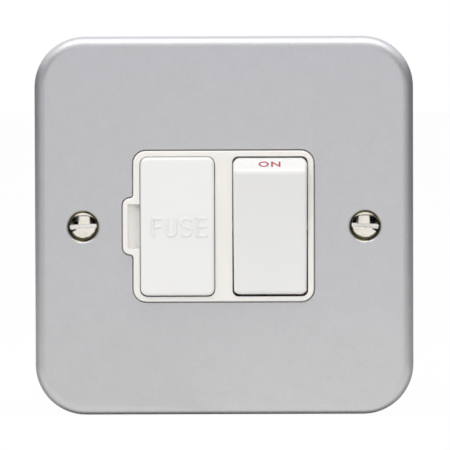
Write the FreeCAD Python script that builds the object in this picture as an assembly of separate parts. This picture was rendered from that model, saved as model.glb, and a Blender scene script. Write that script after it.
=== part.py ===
import FreeCAD, Part
import math
import os
from FreeCAD import Vector

# Switched fused connection unit, one gang, metal-clad. Millimetres.
# X runs to the right seen from the front, Z up, Y into the wall.
# The origin lies midway between the two fixing screws, on the plate's rear rim.
# Everything stands as it does with the switch on and the fuse drawer shut.

# Face plate, pressed from one sheet with its rim folded back
plate_width = 81.0
plate_height = 81.0
plate_corner_radius = 10.8
plate_thickness = 1.2
rim_depth = 4.5
fold_radius = 2.5
fixing_centres = 60.3
dimple_radius = 3.6
dimple_edge_radius = 0.35
fixing_hole_radius = 1.9

# Openings of the front moulding and what fills them
carrier_width = 15.77
rocker_width = 15.9
rocker_end_radius = 14.77
carrier_corner_radius = 1.5
opening_corner_radius = 1.3
running_gap = 0.15
rocker_side_gap = 0.12
upper_gap = 0.12
lower_gap = 0.3
bar_width = 3.7
bar_centre_x = -0.1
left_rim = 1.36
right_rim = 1.24
end_rim = 1.12
bezel_proud = 0.9
bezel_corner_radius = 2.7
bezel_edge_radius = 0.25
aperture_gap = 0.3
flange_thickness = 1.5
flange_margin = 1.77
flange_corner_radius = 3.0

# Screwdriver notch beside the fuse drawer
tab_reach = 2.25
tab_half_height = 6.0
tab_corner_radius = 1.5
tab_root_radius = 0.8
notch_rim = 1.05
notch_half_height = 4.75
notch_shallow = 0.4
notch_deep = 1.8

# Fuse, a 1 inch by 1/4 inch cartridge
fuse_length = 25.4
fuse_radius = 3.175
fuse_cap_length = 6.0
fuse_cap_wall = 0.35

# Fuse drawer
carrier_proud = 1.0
carrier_wall = 1.6
carrier_skirt_wall = 1.3
carrier_depth = 4.9
carrier_edge_radius = 0.7
fuse_end_room = 0.77
fuse_set_back = 2.325
cradle_end_gap = 1.5
cradle_half_width = 4.6
cradle_gap = 0.05
cradle_hook = 1.3
drawer_travel = 10.2
drawer_end_play = 0.2
leg_thickness = 1.4
leg_inset = 0.1
leg_half_height = 5.0
leg_hook_reach = 0.8
leg_hook_height = 0.9

# Rocker, drawn level and then tipped to its on position
pivot_depth = 2.8
rocker_half_angle = 7.0
ridge_inset = 2.15
ridge_height = 5.3
facet_angle = 63.0
low_corner_height = 5.1
face_sag = 0.9
ridge_edge_radius = 1.2
low_edge_radius = 0.8
side_edge_radius = 0.6
side_draft = 0.25
side_draft_start = 1.0
rocker_corner_radius = 1.5
rocker_rear_depth = 1.8
rocker_wall = 1.35
rocker_end_wall = 2.0
rocker_facet_wall = 3.5
trunnion_radius = 1.2
trunnion_length = 0.8
bearing_gap = 0.05
bearing_half_height = 3.0
bearing_wall = 1.4

# Sprung plungers of the two poles
pole_offset = 3.8
plunger_radius = 1.6
plunger_gap = 0.1
plunger_reach = 10.1
plunger_bore_radius = 1.05
plunger_bore_depth = 4.0
plunger_length = 9.1
plunger_tube_radius = 2.6
plunger_tube_end = 5.0
plunger_pocket_depth = 2.0
spring_wire_radius = 0.17
spring_wire_sides = 6
spring_coil_radius = 0.75
spring_turns = 4
spring_slack = 0.85

# Contacts
tip_clearance = 0.1
contact_half_angle = 11.0
contact_thickness = 1.0
contact_width = 5.5
contact_half_length = 9.0
cheek_thickness = 0.6
cheek_height = 2.0
cheek_half_length = 3.2
fulcrum_radius = 0.6
fulcrum_web = 0.8
fulcrum_gap = 0.05
tip_offset = 8.0
tip_radius = 1.5
tip_rim = 0.35
tip_dome = 0.35
contact_gap = 0.12

# Copper strips and fuse clips
strip_thickness = 0.8
strip_width = 2.8
strip_end_width = 5.0
strip_end_margin = 2.5
fuse_base_gap = 0.525
clip_thickness = 0.6
clip_gap = 0.05
clip_half_width = 2.2
clip_inset = 3.0
clip_front = 1.2
clip_flare = 0.9
clip_flare_length = 1.2
riser_set_back = 2.0
riser_gap = 1.6

# Terminals, two rows of three
block_height = 9.0
block_depth = 8.2
block_edge = 0.4
bore_radius = 2.0
bore_set_back = 3.2
block_gap = 0.15
stake_radius = 1.2
stake_head_radius = 1.7
stake_head_height = 0.5
stake_gap = 0.05
terminal_screw_radius = 1.7
terminal_screw_length = 6.9
terminal_head_radius = 2.6
terminal_head_height = 1.6
screw_gap = 0.05
screw_slot_width = 0.8
screw_slot_depth = 0.8

# Rear housing
housing_wall = 1.6
tower_wall = 1.2
tower_inset = 1.3
screw_head_room = 0.55
barrier_wall = 1.75
fuse_end_gap = 0.9
floor_gap = 0.4
head_channel_gap = 0.4
access_radius = 2.2
entry_radius = 2.4
tower_edge = 0.6
rest_post_width = 0.9
rest_post_half_height = 0.8
rest_post_gap = 0.45

# Pillars, housing screws and fixing screws
pillar_radius = 2.3
pillar_end_gap = 0.1
housing_screw_radius = 1.25
housing_screw_length = 6.5
housing_head_radius = 2.1
housing_head_height = 1.5
fixing_screw_radius = 1.75
fixing_neck_radius = 1.45
fixing_thread_gap = 0.3
fixing_screw_length = 25.0
fixing_head_radius = 3.05
fixing_head_raise = 0.7
fixing_slot_width = 1.2
fixing_slot_depth = 0.9
fixing_seat_gap = 0.04
left_slot_angle = 3.0
right_slot_angle = -3.5

# Earth strap
earth_strap_width = 2.4
earth_leg_z = 11.0
earth_leg_half_height = 2.0
earth_foot_reach = 1.9
earth_gap = 0.2

# Levels along Y, worked out from the sizes above
plate_front_y = -rim_depth
plate_rear_y = plate_front_y + plate_thickness
bezel_face_y = plate_front_y - bezel_proud
flange_rear_y = plate_rear_y + flange_thickness
carrier_face_y = bezel_face_y - carrier_proud
carrier_floor_y = carrier_face_y + carrier_wall
fuse_axis_y = carrier_floor_y + fuse_set_back + fuse_radius
strip_front_y = fuse_axis_y + fuse_radius + fuse_base_gap + strip_thickness
strip_rear_y = strip_front_y + strip_thickness
base_floor_y = strip_rear_y + floor_gap
base_outer_y = base_floor_y + housing_wall
block_rear_y = strip_rear_y + block_depth
bore_axis_y = strip_rear_y + bore_set_back
terminal_tip_y = bore_axis_y + bore_radius + tip_clearance
terminal_head_y = terminal_tip_y + terminal_screw_length
terminal_top_y = terminal_head_y + terminal_head_height
tower_inner_y = terminal_top_y + 2 * tip_clearance
tower_outer_y = tower_inner_y + housing_wall
pivot_y = bezel_face_y + pivot_depth
ridge_distance = rocker_end_radius - ridge_inset
contact_front_y = pivot_y + plunger_reach + tip_clearance
contact_axis_y = contact_front_y + contact_thickness
tip_height = tip_rim + tip_dome
contact_sine = math.sin(math.radians(contact_half_angle))
contact_cosine = math.cos(math.radians(contact_half_angle))
closed_tip_y = contact_axis_y + tip_height * contact_cosine + tip_offset * contact_sine
closed_tip_z = tip_offset * contact_cosine - tip_height * contact_sine
fixed_strip_y = closed_tip_y + contact_gap + tip_height
floor_y = fixed_strip_y + strip_thickness
floor_outer_y = floor_y + housing_wall

# Places along X
carrier_right_x = bar_centre_x - bar_width / 2
carrier_left_x = carrier_right_x - carrier_width - 2 * running_gap
carrier_x = (carrier_left_x + carrier_right_x) / 2
rocker_left_x = bar_centre_x + bar_width / 2
rocker_right_x = rocker_left_x + rocker_width + 2 * rocker_side_gap
rocker_x = (rocker_left_x + rocker_right_x) / 2
bezel_left_x = carrier_left_x - left_rim
bezel_right_x = rocker_right_x + right_rim
tab_left_x = bezel_left_x - tab_reach
housing_half_x = flange_margin - tab_left_x
cavity_half_x = housing_half_x - housing_wall
tower_spacing = 2 * (housing_head_radius + screw_head_room)
column_pitch = (housing_half_x - tower_inset + tower_spacing / 2) / 1.5
tower_half_x = (column_pitch - tower_spacing) / 2
block_width = 2 * (tower_half_x - tower_wall - block_gap)
pole_x = {"line": rocker_x - pole_offset, "neutral": rocker_x + pole_offset}
column_x = {"earth": -column_pitch, "line": 0.0, "neutral": column_pitch}
pillar_x = column_pitch / 2
riser_x = carrier_x + fuse_radius + clip_gap + clip_thickness + riser_gap

# Places along Z
carrier_half_z = fuse_length / 2 + fuse_end_room + carrier_skirt_wall
opening_half_z = max(carrier_half_z, rocker_end_radius)
bezel_half_z = opening_half_z + (upper_gap + lower_gap) / 2 + end_rim
cavity_half_z = fuse_length / 2 + fuse_end_gap
terminal_z = cavity_half_z + barrier_wall + block_gap + block_height / 2
housing_half_z = terminal_z + block_height / 2 + block_gap + barrier_wall
row_z = {"supply": terminal_z, "load": -terminal_z}
pillar_z = terminal_z + block_height / 4
clip_z = fuse_length / 2 - clip_inset
cradle_half_height = clip_z - clip_half_width - cradle_end_gap
fold_z = cavity_half_z - riser_set_back
strip_end_z = terminal_z + strip_end_margin


def box(x0, x1, y0, y1, z0, z1):
    return Part.makeBox(x1 - x0, y1 - y0, z1 - z0, Vector(x0, y0, z0))


def rod(radius, start, end):
    run = end - start
    return Part.makeCylinder(radius, run.Length, start, run)


def cone(radius_a, radius_b, x, y0, y1, z):
    return Part.makeCone(radius_a, radius_b, y1 - y0, Vector(x, y0, z), Vector(0, 1, 0))


def revolved(profile, x, z):
    """Turns (radius, y) points about a line along Y through x, z."""
    points = [Vector(x + radius, y, z) for radius, y in profile]
    face = Part.Face(Part.makePolygon(points + [points[0]]))
    return face.revolve(Vector(x, 0, z), Vector(0, 1, 0), 360)


def plate_of(points, y0, y1):
    """A flat sheet with the outline points (x, z), from y0 to y1."""
    corners = [Vector(x, y0, z) for x, z in points]
    face = Part.Face(Part.makePolygon(corners + [corners[0]]))
    return face.extrude(Vector(0, y1 - y0, 0))


def prism_along_z(points, z0, z1):
    """A bar along Z with the section points (x, y)."""
    corners = [Vector(x, y, z0) for x, y in points]
    face = Part.Face(Part.makePolygon(corners + [corners[0]]))
    return face.extrude(Vector(0, 0, z1 - z0))


def edges_along(shape, direction):
    """The straight edges that run along a direction."""
    found = []
    for edge in shape.Edges:
        if isinstance(edge.Curve, Part.Line):
            along = abs(edge.tangentAt(edge.FirstParameter).dot(direction))
            if along > 0.999:
                found.append(edge)
    return found


def edges_at_y(shape, y):
    """The edges that lie in the plane at a height y."""
    return [edge for edge in shape.Edges if lies_at_y(edge, y)]


def lies_at_y(edge, y):
    bounds = edge.BoundBox
    return abs(bounds.YMin - y) < 1e-4 and abs(bounds.YMax - y) < 1e-4


def slab(x0, x1, z0, z1, y0, y1, corner_radius):
    """A block with its four edges along Y rounded."""
    block = box(x0, x1, y0, y1, z0, z1)
    return block.makeFillet(corner_radius, edges_along(block, Vector(0, 1, 0)))


def round_front(shape, y, radius):
    return shape.makeFillet(radius, edges_at_y(shape, y))


def tipped(shape, y, angle):
    """Turns a shape about a line along X at z = 0."""
    turned = shape.copy()
    turned.rotate(Vector(0, y, 0), Vector(1, 0, 0), angle)
    return turned


def joined(first, *others):
    return first.fuse(list(others)).removeSplitter()


# Face plate and what is fixed to it

def bezel_outline(y0, y1, gap):
    """The front moulding's raised part with its notch tab, larger by a gap all round."""
    body = slab(bezel_left_x - gap, bezel_right_x + gap, -bezel_half_z - gap,
                bezel_half_z + gap, y0, y1, bezel_corner_radius + gap)
    tab = slab(tab_left_x - gap, carrier_x, -tab_half_height - gap,
               tab_half_height + gap, y0, y1, tab_corner_radius + gap)
    outline = joined(body, tab).Solids[0]
    roots = [edge for edge in edges_along(outline, Vector(0, 1, 0))
             if abs(edge.CenterOfMass.x - bezel_left_x + gap) < 1e-4
             and abs(abs(edge.CenterOfMass.z) - tab_half_height - gap) < 1e-4]
    return outline.makeFillet(tab_root_radius - gap, roots)


def dimple_rear_y():
    """The level of the hole's rear edge in the pressed cone."""
    return plate_front_y + dimple_radius - fixing_hole_radius + plate_thickness / math.sqrt(2)


def dimple_hollow(x, hole_y, rear_radius):
    """What is open in front of the pressed cone and in its hole, with a round lip."""
    front_y = plate_front_y
    half_turn = math.radians(45) / 2
    tangent = dimple_edge_radius * math.tan(half_turn)
    lip_x = x + dimple_radius + tangent
    lip_end = Vector(x + dimple_radius - tangent / math.sqrt(2), front_y + tangent / math.sqrt(2), 0)
    lip_middle = Vector(lip_x - dimple_edge_radius * math.sin(half_turn),
                        front_y + dimple_edge_radius * (1 - math.cos(half_turn)), 0)
    corners = [lip_end, Vector(x + fixing_hole_radius, hole_y, 0),
               Vector(x + rear_radius, dimple_rear_y(), 0), Vector(x, dimple_rear_y(), 0),
               Vector(x, front_y - plate_thickness, 0), Vector(lip_x, front_y - plate_thickness, 0),
               Vector(lip_x, front_y, 0)]
    edges = Part.makePolygon(corners).Edges + [Part.Arc(corners[-1], lip_middle, lip_end).toShape()]
    return Part.Face(Part.Wire(edges)).revolve(Vector(x, 0, 0), Vector(0, 1, 0), 360)


def dimple(x):
    """The pressed cone for a countersunk head: what it adds and what it takes away."""
    lean = plate_thickness * math.sqrt(2) - plate_thickness
    hole_y = plate_front_y + dimple_radius - fixing_hole_radius
    normal = dimple_rear_y() - hole_y
    overlap = plate_thickness / 2
    added = cone(dimple_radius + lean + overlap, fixing_hole_radius + normal, x,
                 plate_rear_y - overlap, dimple_rear_y(), 0)
    return added, dimple_hollow(x, hole_y, fixing_hole_radius + normal)


def faceplate():
    half_x = plate_width / 2
    half_z = plate_height / 2
    shell = slab(-half_x, half_x, -half_z, half_z, plate_front_y, 0, plate_corner_radius)
    shell = round_front(shell, plate_front_y, fold_radius)
    wall = plate_thickness
    hollow = slab(-half_x + wall, half_x - wall, -half_z + wall, half_z - wall,
                  plate_rear_y, rim_depth, plate_corner_radius - wall)
    hollow = round_front(hollow, plate_rear_y, fold_radius - wall)
    shell = shell.cut(hollow)
    for side in (-1, 1):
        added, opened = dimple(side * fixing_centres / 2)
        shell = shell.fuse(added).cut(opened)
    return shell.cut(bezel_outline(plate_front_y, plate_rear_y, aperture_gap)).removeSplitter()


def corner_places():
    return [(side * pillar_x, end * pillar_z) for side in (-1, 1) for end in (-1, 1)]


def pillar(x, z):
    """A tapped post that stands on the back of the plate."""
    end_y = base_floor_y - pillar_end_gap
    post = rod(pillar_radius, Vector(x, plate_rear_y, z), Vector(x, end_y, z))
    hole_y = base_outer_y - housing_screw_length - screw_gap
    bore = rod(housing_screw_radius + screw_gap, Vector(x, hole_y, z), Vector(x, end_y, z))
    return post.cut(bore)


def fixing_screw(side, slot_angle):
    """A raised countersunk screw whose slot is turned by an angle."""
    x = side * fixing_centres / 2
    rim_y = plate_front_y + dimple_radius - fixing_head_radius - fixing_seat_gap
    neck_y = rim_y + fixing_head_radius - fixing_neck_radius
    end_y = neck_y + fixing_screw_length
    chamfer = fixing_screw_radius / 2
    thread_y = dimple_rear_y() + fixing_thread_gap
    body = revolved([(0, rim_y), (fixing_head_radius, rim_y), (fixing_neck_radius, neck_y),
                     (fixing_neck_radius, thread_y), (fixing_screw_radius, thread_y),
                     (fixing_screw_radius, end_y - chamfer), (chamfer, end_y), (0, end_y)], x, 0)
    rise = fixing_head_raise
    ball_radius = (fixing_head_radius ** 2 + rise ** 2) / (2 * rise)
    ball = Part.makeSphere(ball_radius, Vector(x, rim_y - rise + ball_radius, 0))
    cap = rod(fixing_head_radius, Vector(x, rim_y - rise, 0), Vector(x, rim_y, 0)).common(ball)
    reach = fixing_head_radius + 1
    crown_y = rim_y - rise
    slot = box(x - reach, x + reach, crown_y - 1, crown_y + fixing_slot_depth,
               -fixing_slot_width / 2, fixing_slot_width / 2)
    slot.rotate(Vector(x, 0, 0), Vector(0, -1, 0), slot_angle)
    return joined(body, cap).cut(slot)


# Front moulding

def bearing_block(inner_x, outward):
    """The wall behind the flange that carries one end of the rocker's hinge."""
    far_x = inner_x + outward * (trunnion_length + bearing_wall)
    rear_y = pivot_y + trunnion_radius + bearing_gap + bearing_wall
    return box(min(inner_x, far_x), max(inner_x, far_x), plate_rear_y, rear_y,
               -bearing_half_height, bearing_half_height)


def notch():
    """The ramp that leads a screwdriver blade under the edge of the fuse drawer."""
    left_x = tab_left_x + notch_rim
    right_x = carrier_left_x + running_gap
    ramp = [(left_x, bezel_face_y - 1), (left_x, bezel_face_y + notch_shallow),
            (right_x, bezel_face_y + notch_deep), (right_x, bezel_face_y - 1)]
    return prism_along_z(ramp, -notch_half_height, notch_half_height)


def clamp_rib(x, side):
    """A rib that holds the inner end of a terminal's strip down on its block."""
    z0 = side * (terminal_z - block_height / 2 + block_gap)
    z1 = z0 + side * tower_wall
    half = strip_end_width / 2 - block_edge
    return box(x - half, x + half, flange_rear_y, strip_front_y - pillar_end_gap,
               min(z0, z1), max(z0, z1))


def front_insert():
    flange = slab(-housing_half_x, housing_half_x, -housing_half_z, housing_half_z,
                  plate_rear_y, flange_rear_y, flange_corner_radius)
    raised = bezel_outline(bezel_face_y, flange_rear_y, 0)
    raised = round_front(raised, bezel_face_y, bezel_edge_radius)
    body = flange.fuse([raised, bearing_block(rocker_left_x, -1), bearing_block(rocker_right_x, 1)])
    ribs = [clamp_rib(x, side) for x in column_x.values() for side in (-1, 1)]
    body = body.fuse(ribs)
    beyond_y = bezel_face_y - 1
    rear_y = flange_rear_y + rim_depth
    carrier_hole = slab(carrier_left_x, carrier_right_x, -carrier_half_z - lower_gap,
                        carrier_half_z + upper_gap, beyond_y, flange_rear_y, carrier_corner_radius + running_gap)
    rocker_hole = slab(rocker_left_x, rocker_right_x, -rocker_end_radius - lower_gap,
                       rocker_end_radius + upper_gap, beyond_y, rear_y, opening_corner_radius)
    reach = rocker_side_gap + trunnion_length + bearing_gap
    hinge_hole = rod(trunnion_radius + bearing_gap, Vector(rocker_left_x - reach, pivot_y, 0),
                     Vector(rocker_right_x + reach, pivot_y, 0))
    holes = [rod(pillar_radius + running_gap, Vector(x, plate_rear_y, z),
                 Vector(x, flange_rear_y, z)) for x, z in corner_places()]
    reach_z = earth_leg_half_height + earth_gap
    slot = box(-housing_half_x, earth_leg_x() + strip_thickness + earth_gap, plate_rear_y,
               flange_rear_y, earth_leg_z - reach_z, earth_leg_z + reach_z)
    return body.cut([carrier_hole, rocker_hole, hinge_hole, notch(), slot] + holes)


# Fuse drawer and fuse

def drawer_leg(side):
    """A guide leg with an outward hook that stops the drawer on the flange."""
    outer_x = carrier_x + side * (carrier_width / 2 - leg_inset)
    inner_x = outer_x - side * leg_thickness
    hook_x = outer_x + side * leg_hook_reach
    hook_y = flange_rear_y + drawer_travel + drawer_end_play
    end_y = hook_y + leg_hook_height
    section = [(inner_x, carrier_floor_y), (outer_x, carrier_floor_y), (outer_x, hook_y),
               (hook_x, hook_y), (outer_x, end_y), (inner_x, end_y)]
    return prism_along_z(section, -leg_half_height, leg_half_height)


def fuse_carrier():
    half_x = carrier_width / 2
    rear_y = carrier_face_y + carrier_depth
    left_x = carrier_x - half_x
    right_x = carrier_x + half_x
    body = slab(left_x, right_x, -carrier_half_z, carrier_half_z, carrier_face_y, rear_y,
                carrier_corner_radius)
    body = round_front(body, carrier_face_y, carrier_edge_radius)
    wall = carrier_skirt_wall
    hollow = box(left_x + wall, right_x - wall, carrier_floor_y, rear_y,
                 -carrier_half_z + wall, carrier_half_z - wall)
    cradle = box(carrier_x - cradle_half_width, carrier_x + cradle_half_width, carrier_floor_y,
                 fuse_axis_y + cradle_hook, -cradle_half_height, cradle_half_height)
    seat = rod(fuse_radius + cradle_gap, Vector(carrier_x, fuse_axis_y, -carrier_half_z),
               Vector(carrier_x, fuse_axis_y, carrier_half_z))
    step = box(left_x, left_x + wall / 2, bezel_face_y + notch_shallow, bezel_face_y + notch_deep,
               -notch_half_height, notch_half_height)
    body = body.cut([hollow, step])
    body = joined(body, cradle.cut(seat), drawer_leg(-1), drawer_leg(1))
    return body


def fuse_tube():
    half = fuse_length / 2 - fuse_cap_wall
    return rod(fuse_radius - fuse_cap_wall, Vector(carrier_x, fuse_axis_y, -half),
               Vector(carrier_x, fuse_axis_y, half))


def fuse_cap(side):
    end_z = side * fuse_length / 2
    start_z = end_z - side * fuse_cap_length
    seat_z = end_z - side * fuse_cap_wall
    cup = rod(fuse_radius, Vector(carrier_x, fuse_axis_y, start_z),
              Vector(carrier_x, fuse_axis_y, end_z))
    rim = [edge for edge in cup.Edges if abs(edge.BoundBox.ZMin - end_z) < 1e-4
           and abs(edge.BoundBox.ZMax - end_z) < 1e-4]
    cup = cup.makeChamfer(fuse_cap_wall / 2, rim)
    return cup.cut(rod(fuse_radius - fuse_cap_wall, Vector(carrier_x, fuse_axis_y, start_z),
                       Vector(carrier_x, fuse_axis_y, seat_z)))


# Rocker and plungers

def rocker_point(along, out):
    """A point of the level rocker: a distance along Z and one out of the wall."""
    return Vector(0, pivot_y - out, along)


def rocker_outline():
    """The side view: a dished face, a sloping end facet and ends round about the hinge."""
    slope = math.radians(facet_angle)
    across = math.cos(slope)
    down = math.sin(slope)
    inward = ridge_height * down - ridge_distance * across
    spare = rocker_end_radius ** 2 - ridge_distance ** 2 - ridge_height ** 2
    facet_length = inward + math.sqrt(inward ** 2 + spare)
    facet_end = rocker_point(ridge_distance + across * facet_length,
                             ridge_height - down * facet_length)
    ridge = rocker_point(ridge_distance, ridge_height)
    low_along = math.sqrt(rocker_end_radius ** 2 - low_corner_height ** 2)
    low_corner = rocker_point(-low_along, low_corner_height)
    face_middle = rocker_point((ridge_distance - low_along) / 2,
                               (ridge_height + low_corner_height) / 2 - face_sag)
    rear_along = math.sqrt(rocker_end_radius ** 2 - rocker_rear_depth ** 2)
    low_rear = rocker_point(-rear_along, -rocker_rear_depth)
    top_rear = rocker_point(rear_along, -rocker_rear_depth)
    edges = [Part.Arc(ridge, face_middle, low_corner).toShape(),
             Part.Arc(low_corner, rocker_point(-rocker_end_radius, 0), low_rear).toShape(),
             Part.LineSegment(low_rear, top_rear).toShape(),
             Part.Arc(top_rear, rocker_point(rocker_end_radius, 0), facet_end).toShape(),
             Part.LineSegment(facet_end, ridge).toShape()]
    return Part.Wire(edges), ridge, low_corner


def rocker_drum():
    """The round form about the hinge that keeps the end gaps even as the rocker tips."""
    half = rocker_width / 2
    drum = rod(rocker_end_radius, Vector(rocker_x - half, pivot_y, 0),
               Vector(rocker_x + half, pivot_y, 0))
    rims = [edge for edge in drum.Edges if isinstance(edge.Curve, Part.Circle)]
    return drum.makeFillet(rocker_corner_radius, rims)


def edges_through(shape, point):
    """The edges along X that pass through a point of the side view."""
    found = []
    for edge in edges_along(shape, Vector(1, 0, 0)):
        middle = edge.CenterOfMass
        if math.hypot(middle.y - point.y, middle.z - point.z) < 1e-3:
            found.append(edge)
    return found


def side_lean(out):
    """How far the side walls stand back at a distance out of the wall."""
    return side_draft * (out - side_draft_start) / (ridge_height - side_draft_start)


def draft_wedge(side):
    """What the draft takes off one side of the rocker."""
    side_x = rocker_x + side * rocker_width / 2
    out = ridge_height + 1
    section = [(side_x, pivot_y - side_draft_start), (side_x + side, pivot_y - side_draft_start),
               (side_x + side, pivot_y - out), (side_x - side * side_lean(out), pivot_y - out)]
    return prism_along_z(section, -rocker_end_radius, rocker_end_radius)


def lies_on_draft(point):
    """Whether a point lies on a drafted side wall, in front of where the draft starts."""
    out = pivot_y - point.y
    stand_back = rocker_width / 2 - abs(point.x - rocker_x)
    return out > side_draft_start and abs(stand_back - side_lean(out)) < 1e-3


def front_side_edges(shape):
    """The side edges of the pressed face and of the end facet."""
    found = []
    for edge in shape.Edges:
        start, middle, end = edge.discretize(3)
        reach = math.hypot(middle.y - pivot_y, middle.z)
        if reach < rocker_end_radius - 1e-3 and all(map(lies_on_draft, (start, middle, end))):
            found.append(edge)
    return found


def plunger_axis(pole, out):
    return Vector(pole_x[pole], pivot_y - out, 0)


def rocker():
    left_x = rocker_x - rocker_width / 2
    right_x = rocker_x + rocker_width / 2
    outline, ridge, low_corner = rocker_outline()
    outline.translate(Vector(left_x, 0, 0))
    body = Part.Face(outline).extrude(Vector(rocker_width, 0, 0))
    body = body.makeFillet(ridge_edge_radius, edges_through(body, ridge))
    body = body.makeFillet(low_edge_radius, edges_through(body, low_corner))
    body = body.cut([draft_wedge(-1), draft_wedge(1)])
    body = body.makeFillet(side_edge_radius, front_side_edges(body)).common(rocker_drum())
    face_out = (ridge_height + low_corner_height) / 2 - face_sag
    roof_y = pivot_y - face_out + rocker_wall
    hollow = box(left_x + rocker_wall, right_x - rocker_wall, roof_y,
                 pivot_y + rocker_rear_depth, -rocker_end_radius + rocker_end_wall,
                 rocker_end_radius - rocker_facet_wall)
    pins = rod(trunnion_radius, Vector(left_x - trunnion_length, pivot_y, 0),
               Vector(left_x + rocker_wall, pivot_y, 0))
    far_pin = rod(trunnion_radius, Vector(right_x - rocker_wall, pivot_y, 0),
                  Vector(right_x + trunnion_length, pivot_y, 0))
    body = body.cut(hollow).fuse([pins, far_pin])
    for pole in pole_x:
        tube = rod(plunger_tube_radius, Vector(pole_x[pole], roof_y, 0),
                   plunger_axis(pole, -plunger_tube_end))
        bore = rod(plunger_radius + plunger_gap, plunger_axis(pole, plunger_pocket_depth),
                   plunger_axis(pole, -plunger_tube_end))
        body = body.fuse(tube).cut(bore)
    return tipped(body.removeSplitter(), pivot_y, rocker_half_angle)


def plunger(pole):
    """A pin with a round nose and a blind bore for its spring."""
    nose = plunger_axis(pole, plunger_radius - plunger_reach)
    rear = plunger_axis(pole, plunger_length - plunger_reach)
    pin = rod(plunger_radius, rear, nose).fuse(Part.makeSphere(plunger_radius, nose))
    bore = rod(plunger_bore_radius, rear,
               plunger_axis(pole, plunger_length - plunger_reach - plunger_bore_depth))
    return tipped(pin.cut(bore).removeSplitter(), pivot_y, rocker_half_angle)


def plunger_spring(pole):
    """A coil that bears on the floor of the rocker's pocket, inside the plunger."""
    seat_out = plunger_pocket_depth - spring_wire_radius
    end_out = plunger_length - plunger_reach - plunger_bore_depth + spring_slack
    height = seat_out - end_out
    pitch = height / spring_turns
    path = Part.makeHelix(pitch, height, spring_coil_radius)
    turns = [2 * math.pi * k / spring_wire_sides for k in range(spring_wire_sides + 1)]
    wire = Part.makePolygon([Vector(spring_coil_radius + spring_wire_radius * math.cos(turn), 0,
                                    spring_wire_radius * math.sin(turn)) for turn in turns])
    coil = Part.Wire(path).makePipeShell([wire], True, True)
    coil.rotate(Vector(0, 0, 0), Vector(1, 0, 0), -90)
    coil.translate(plunger_axis(pole, seat_out))
    return tipped(coil, pivot_y, rocker_half_angle)


# Contacts, drawn level about their fulcrum and then tipped

def moving_contact(pole):
    x = pole_x[pole]
    half = contact_width / 2
    bar = box(x - half, x + half, contact_front_y, contact_axis_y,
              -contact_half_length, contact_half_length)
    bar = bar.makeFillet(contact_width / 4, edges_along(bar, Vector(0, 1, 0)))
    cheeks = [box(min(x + side * half, x + side * (half - cheek_thickness)),
                  max(x + side * half, x + side * (half - cheek_thickness)),
                  contact_front_y - cheek_height, contact_axis_y,
                  -cheek_half_length, cheek_half_length) for side in (-1, 1)]
    groove = rod(fulcrum_radius + fulcrum_gap, Vector(x - half, contact_axis_y, 0),
                 Vector(x + half, contact_axis_y, 0))
    body = joined(bar, *cheeks).cut(groove)
    return tipped(body, contact_axis_y, -contact_half_angle)


def contact_tip(x, y, z, outward):
    """A domed silver rivet head standing on a face at height y."""
    top_y = y + outward * tip_rim
    rim = rod(tip_radius, Vector(x, y, z), Vector(x, top_y, z))
    ball_radius = (tip_radius ** 2 + tip_dome ** 2) / (2 * tip_dome)
    crown_y = top_y + outward * tip_dome
    ball = Part.makeSphere(ball_radius, Vector(x, crown_y - outward * ball_radius, z))
    crown = rod(tip_radius, Vector(x, top_y, z), Vector(x, crown_y, z)).common(ball)
    return joined(rim, crown)


def moving_tip(pole):
    tip = contact_tip(pole_x[pole], contact_axis_y, tip_offset, 1)
    return tipped(tip, contact_axis_y, -contact_half_angle)


def fixed_tip(pole):
    return contact_tip(pole_x[pole], fixed_strip_y, closed_tip_z, -1)


def strip_end(x, side):
    """Outline of a strip where it lies under a terminal block, from its inner side."""
    half = strip_end_width / 2
    near = side * (fold_z + strip_width)
    far = side * strip_end_z
    return [(x - half, near), (x + half, near), (x + half, far), (x - half, far)]


def stake_hole(x, side):
    return rod(stake_radius + stake_gap, Vector(x, strip_front_y, side * terminal_z),
               Vector(x, strip_rear_y, side * terminal_z))


def bridge(x_a, x_b, side):
    """A flat cross piece between a pole and a terminal column beside the fold."""
    left = min(x_a, x_b) - strip_width / 2
    right = max(x_a, x_b) + strip_width / 2
    near = side * fold_z
    far = side * (fold_z + strip_width)
    return [(left, near), (right, near), (right, far), (left, far)]


def terminal_lead(x_pole, x_column, side):
    """The level part of a strip, from the fold to the staked end."""
    level = plate_of(bridge(x_pole, x_column, side), strip_front_y, strip_rear_y)
    end = plate_of(strip_end(x_column, side), strip_front_y, strip_rear_y)
    return joined(level, end).cut(stake_hole(x_column, side))


def riser(x, side):
    """The upright part of a strip at the fold."""
    half = strip_width / 2
    z0 = side * fold_z
    z1 = side * (fold_z + strip_thickness)
    return box(x - half, x + half, strip_front_y, floor_y, min(z0, z1), max(z0, z1))


def fixed_contact(pole):
    """From a supply terminal down to the floor, under the moving contact's tip."""
    x = pole_x[pole]
    half = strip_width / 2
    foot = box(x - half, x + half, fixed_strip_y, floor_y, closed_tip_z - tip_radius,
               fold_z + strip_thickness)
    return joined(terminal_lead(x, column_x[pole], 1), riser(x, 1), foot)


def fulcrum(pole):
    """The round-headed post on which the moving contact rocks."""
    x = pole_x[pole]
    half = contact_width / 2 - block_edge
    head = rod(fulcrum_radius, Vector(x - half, contact_axis_y, 0), Vector(x + half, contact_axis_y, 0))
    web = box(x - half, x + half, contact_axis_y, floor_y, -fulcrum_web / 2, fulcrum_web / 2)
    return joined(head, web)


def pivot_strip_neutral():
    x = pole_x["neutral"]
    half = strip_width / 2
    foot = box(x - half, x + half, fixed_strip_y, floor_y, -fold_z - strip_thickness, half)
    lead = terminal_lead(x, column_x["neutral"], -1)
    return joined(foot, fulcrum("neutral"), riser(x, -1), lead)


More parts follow.
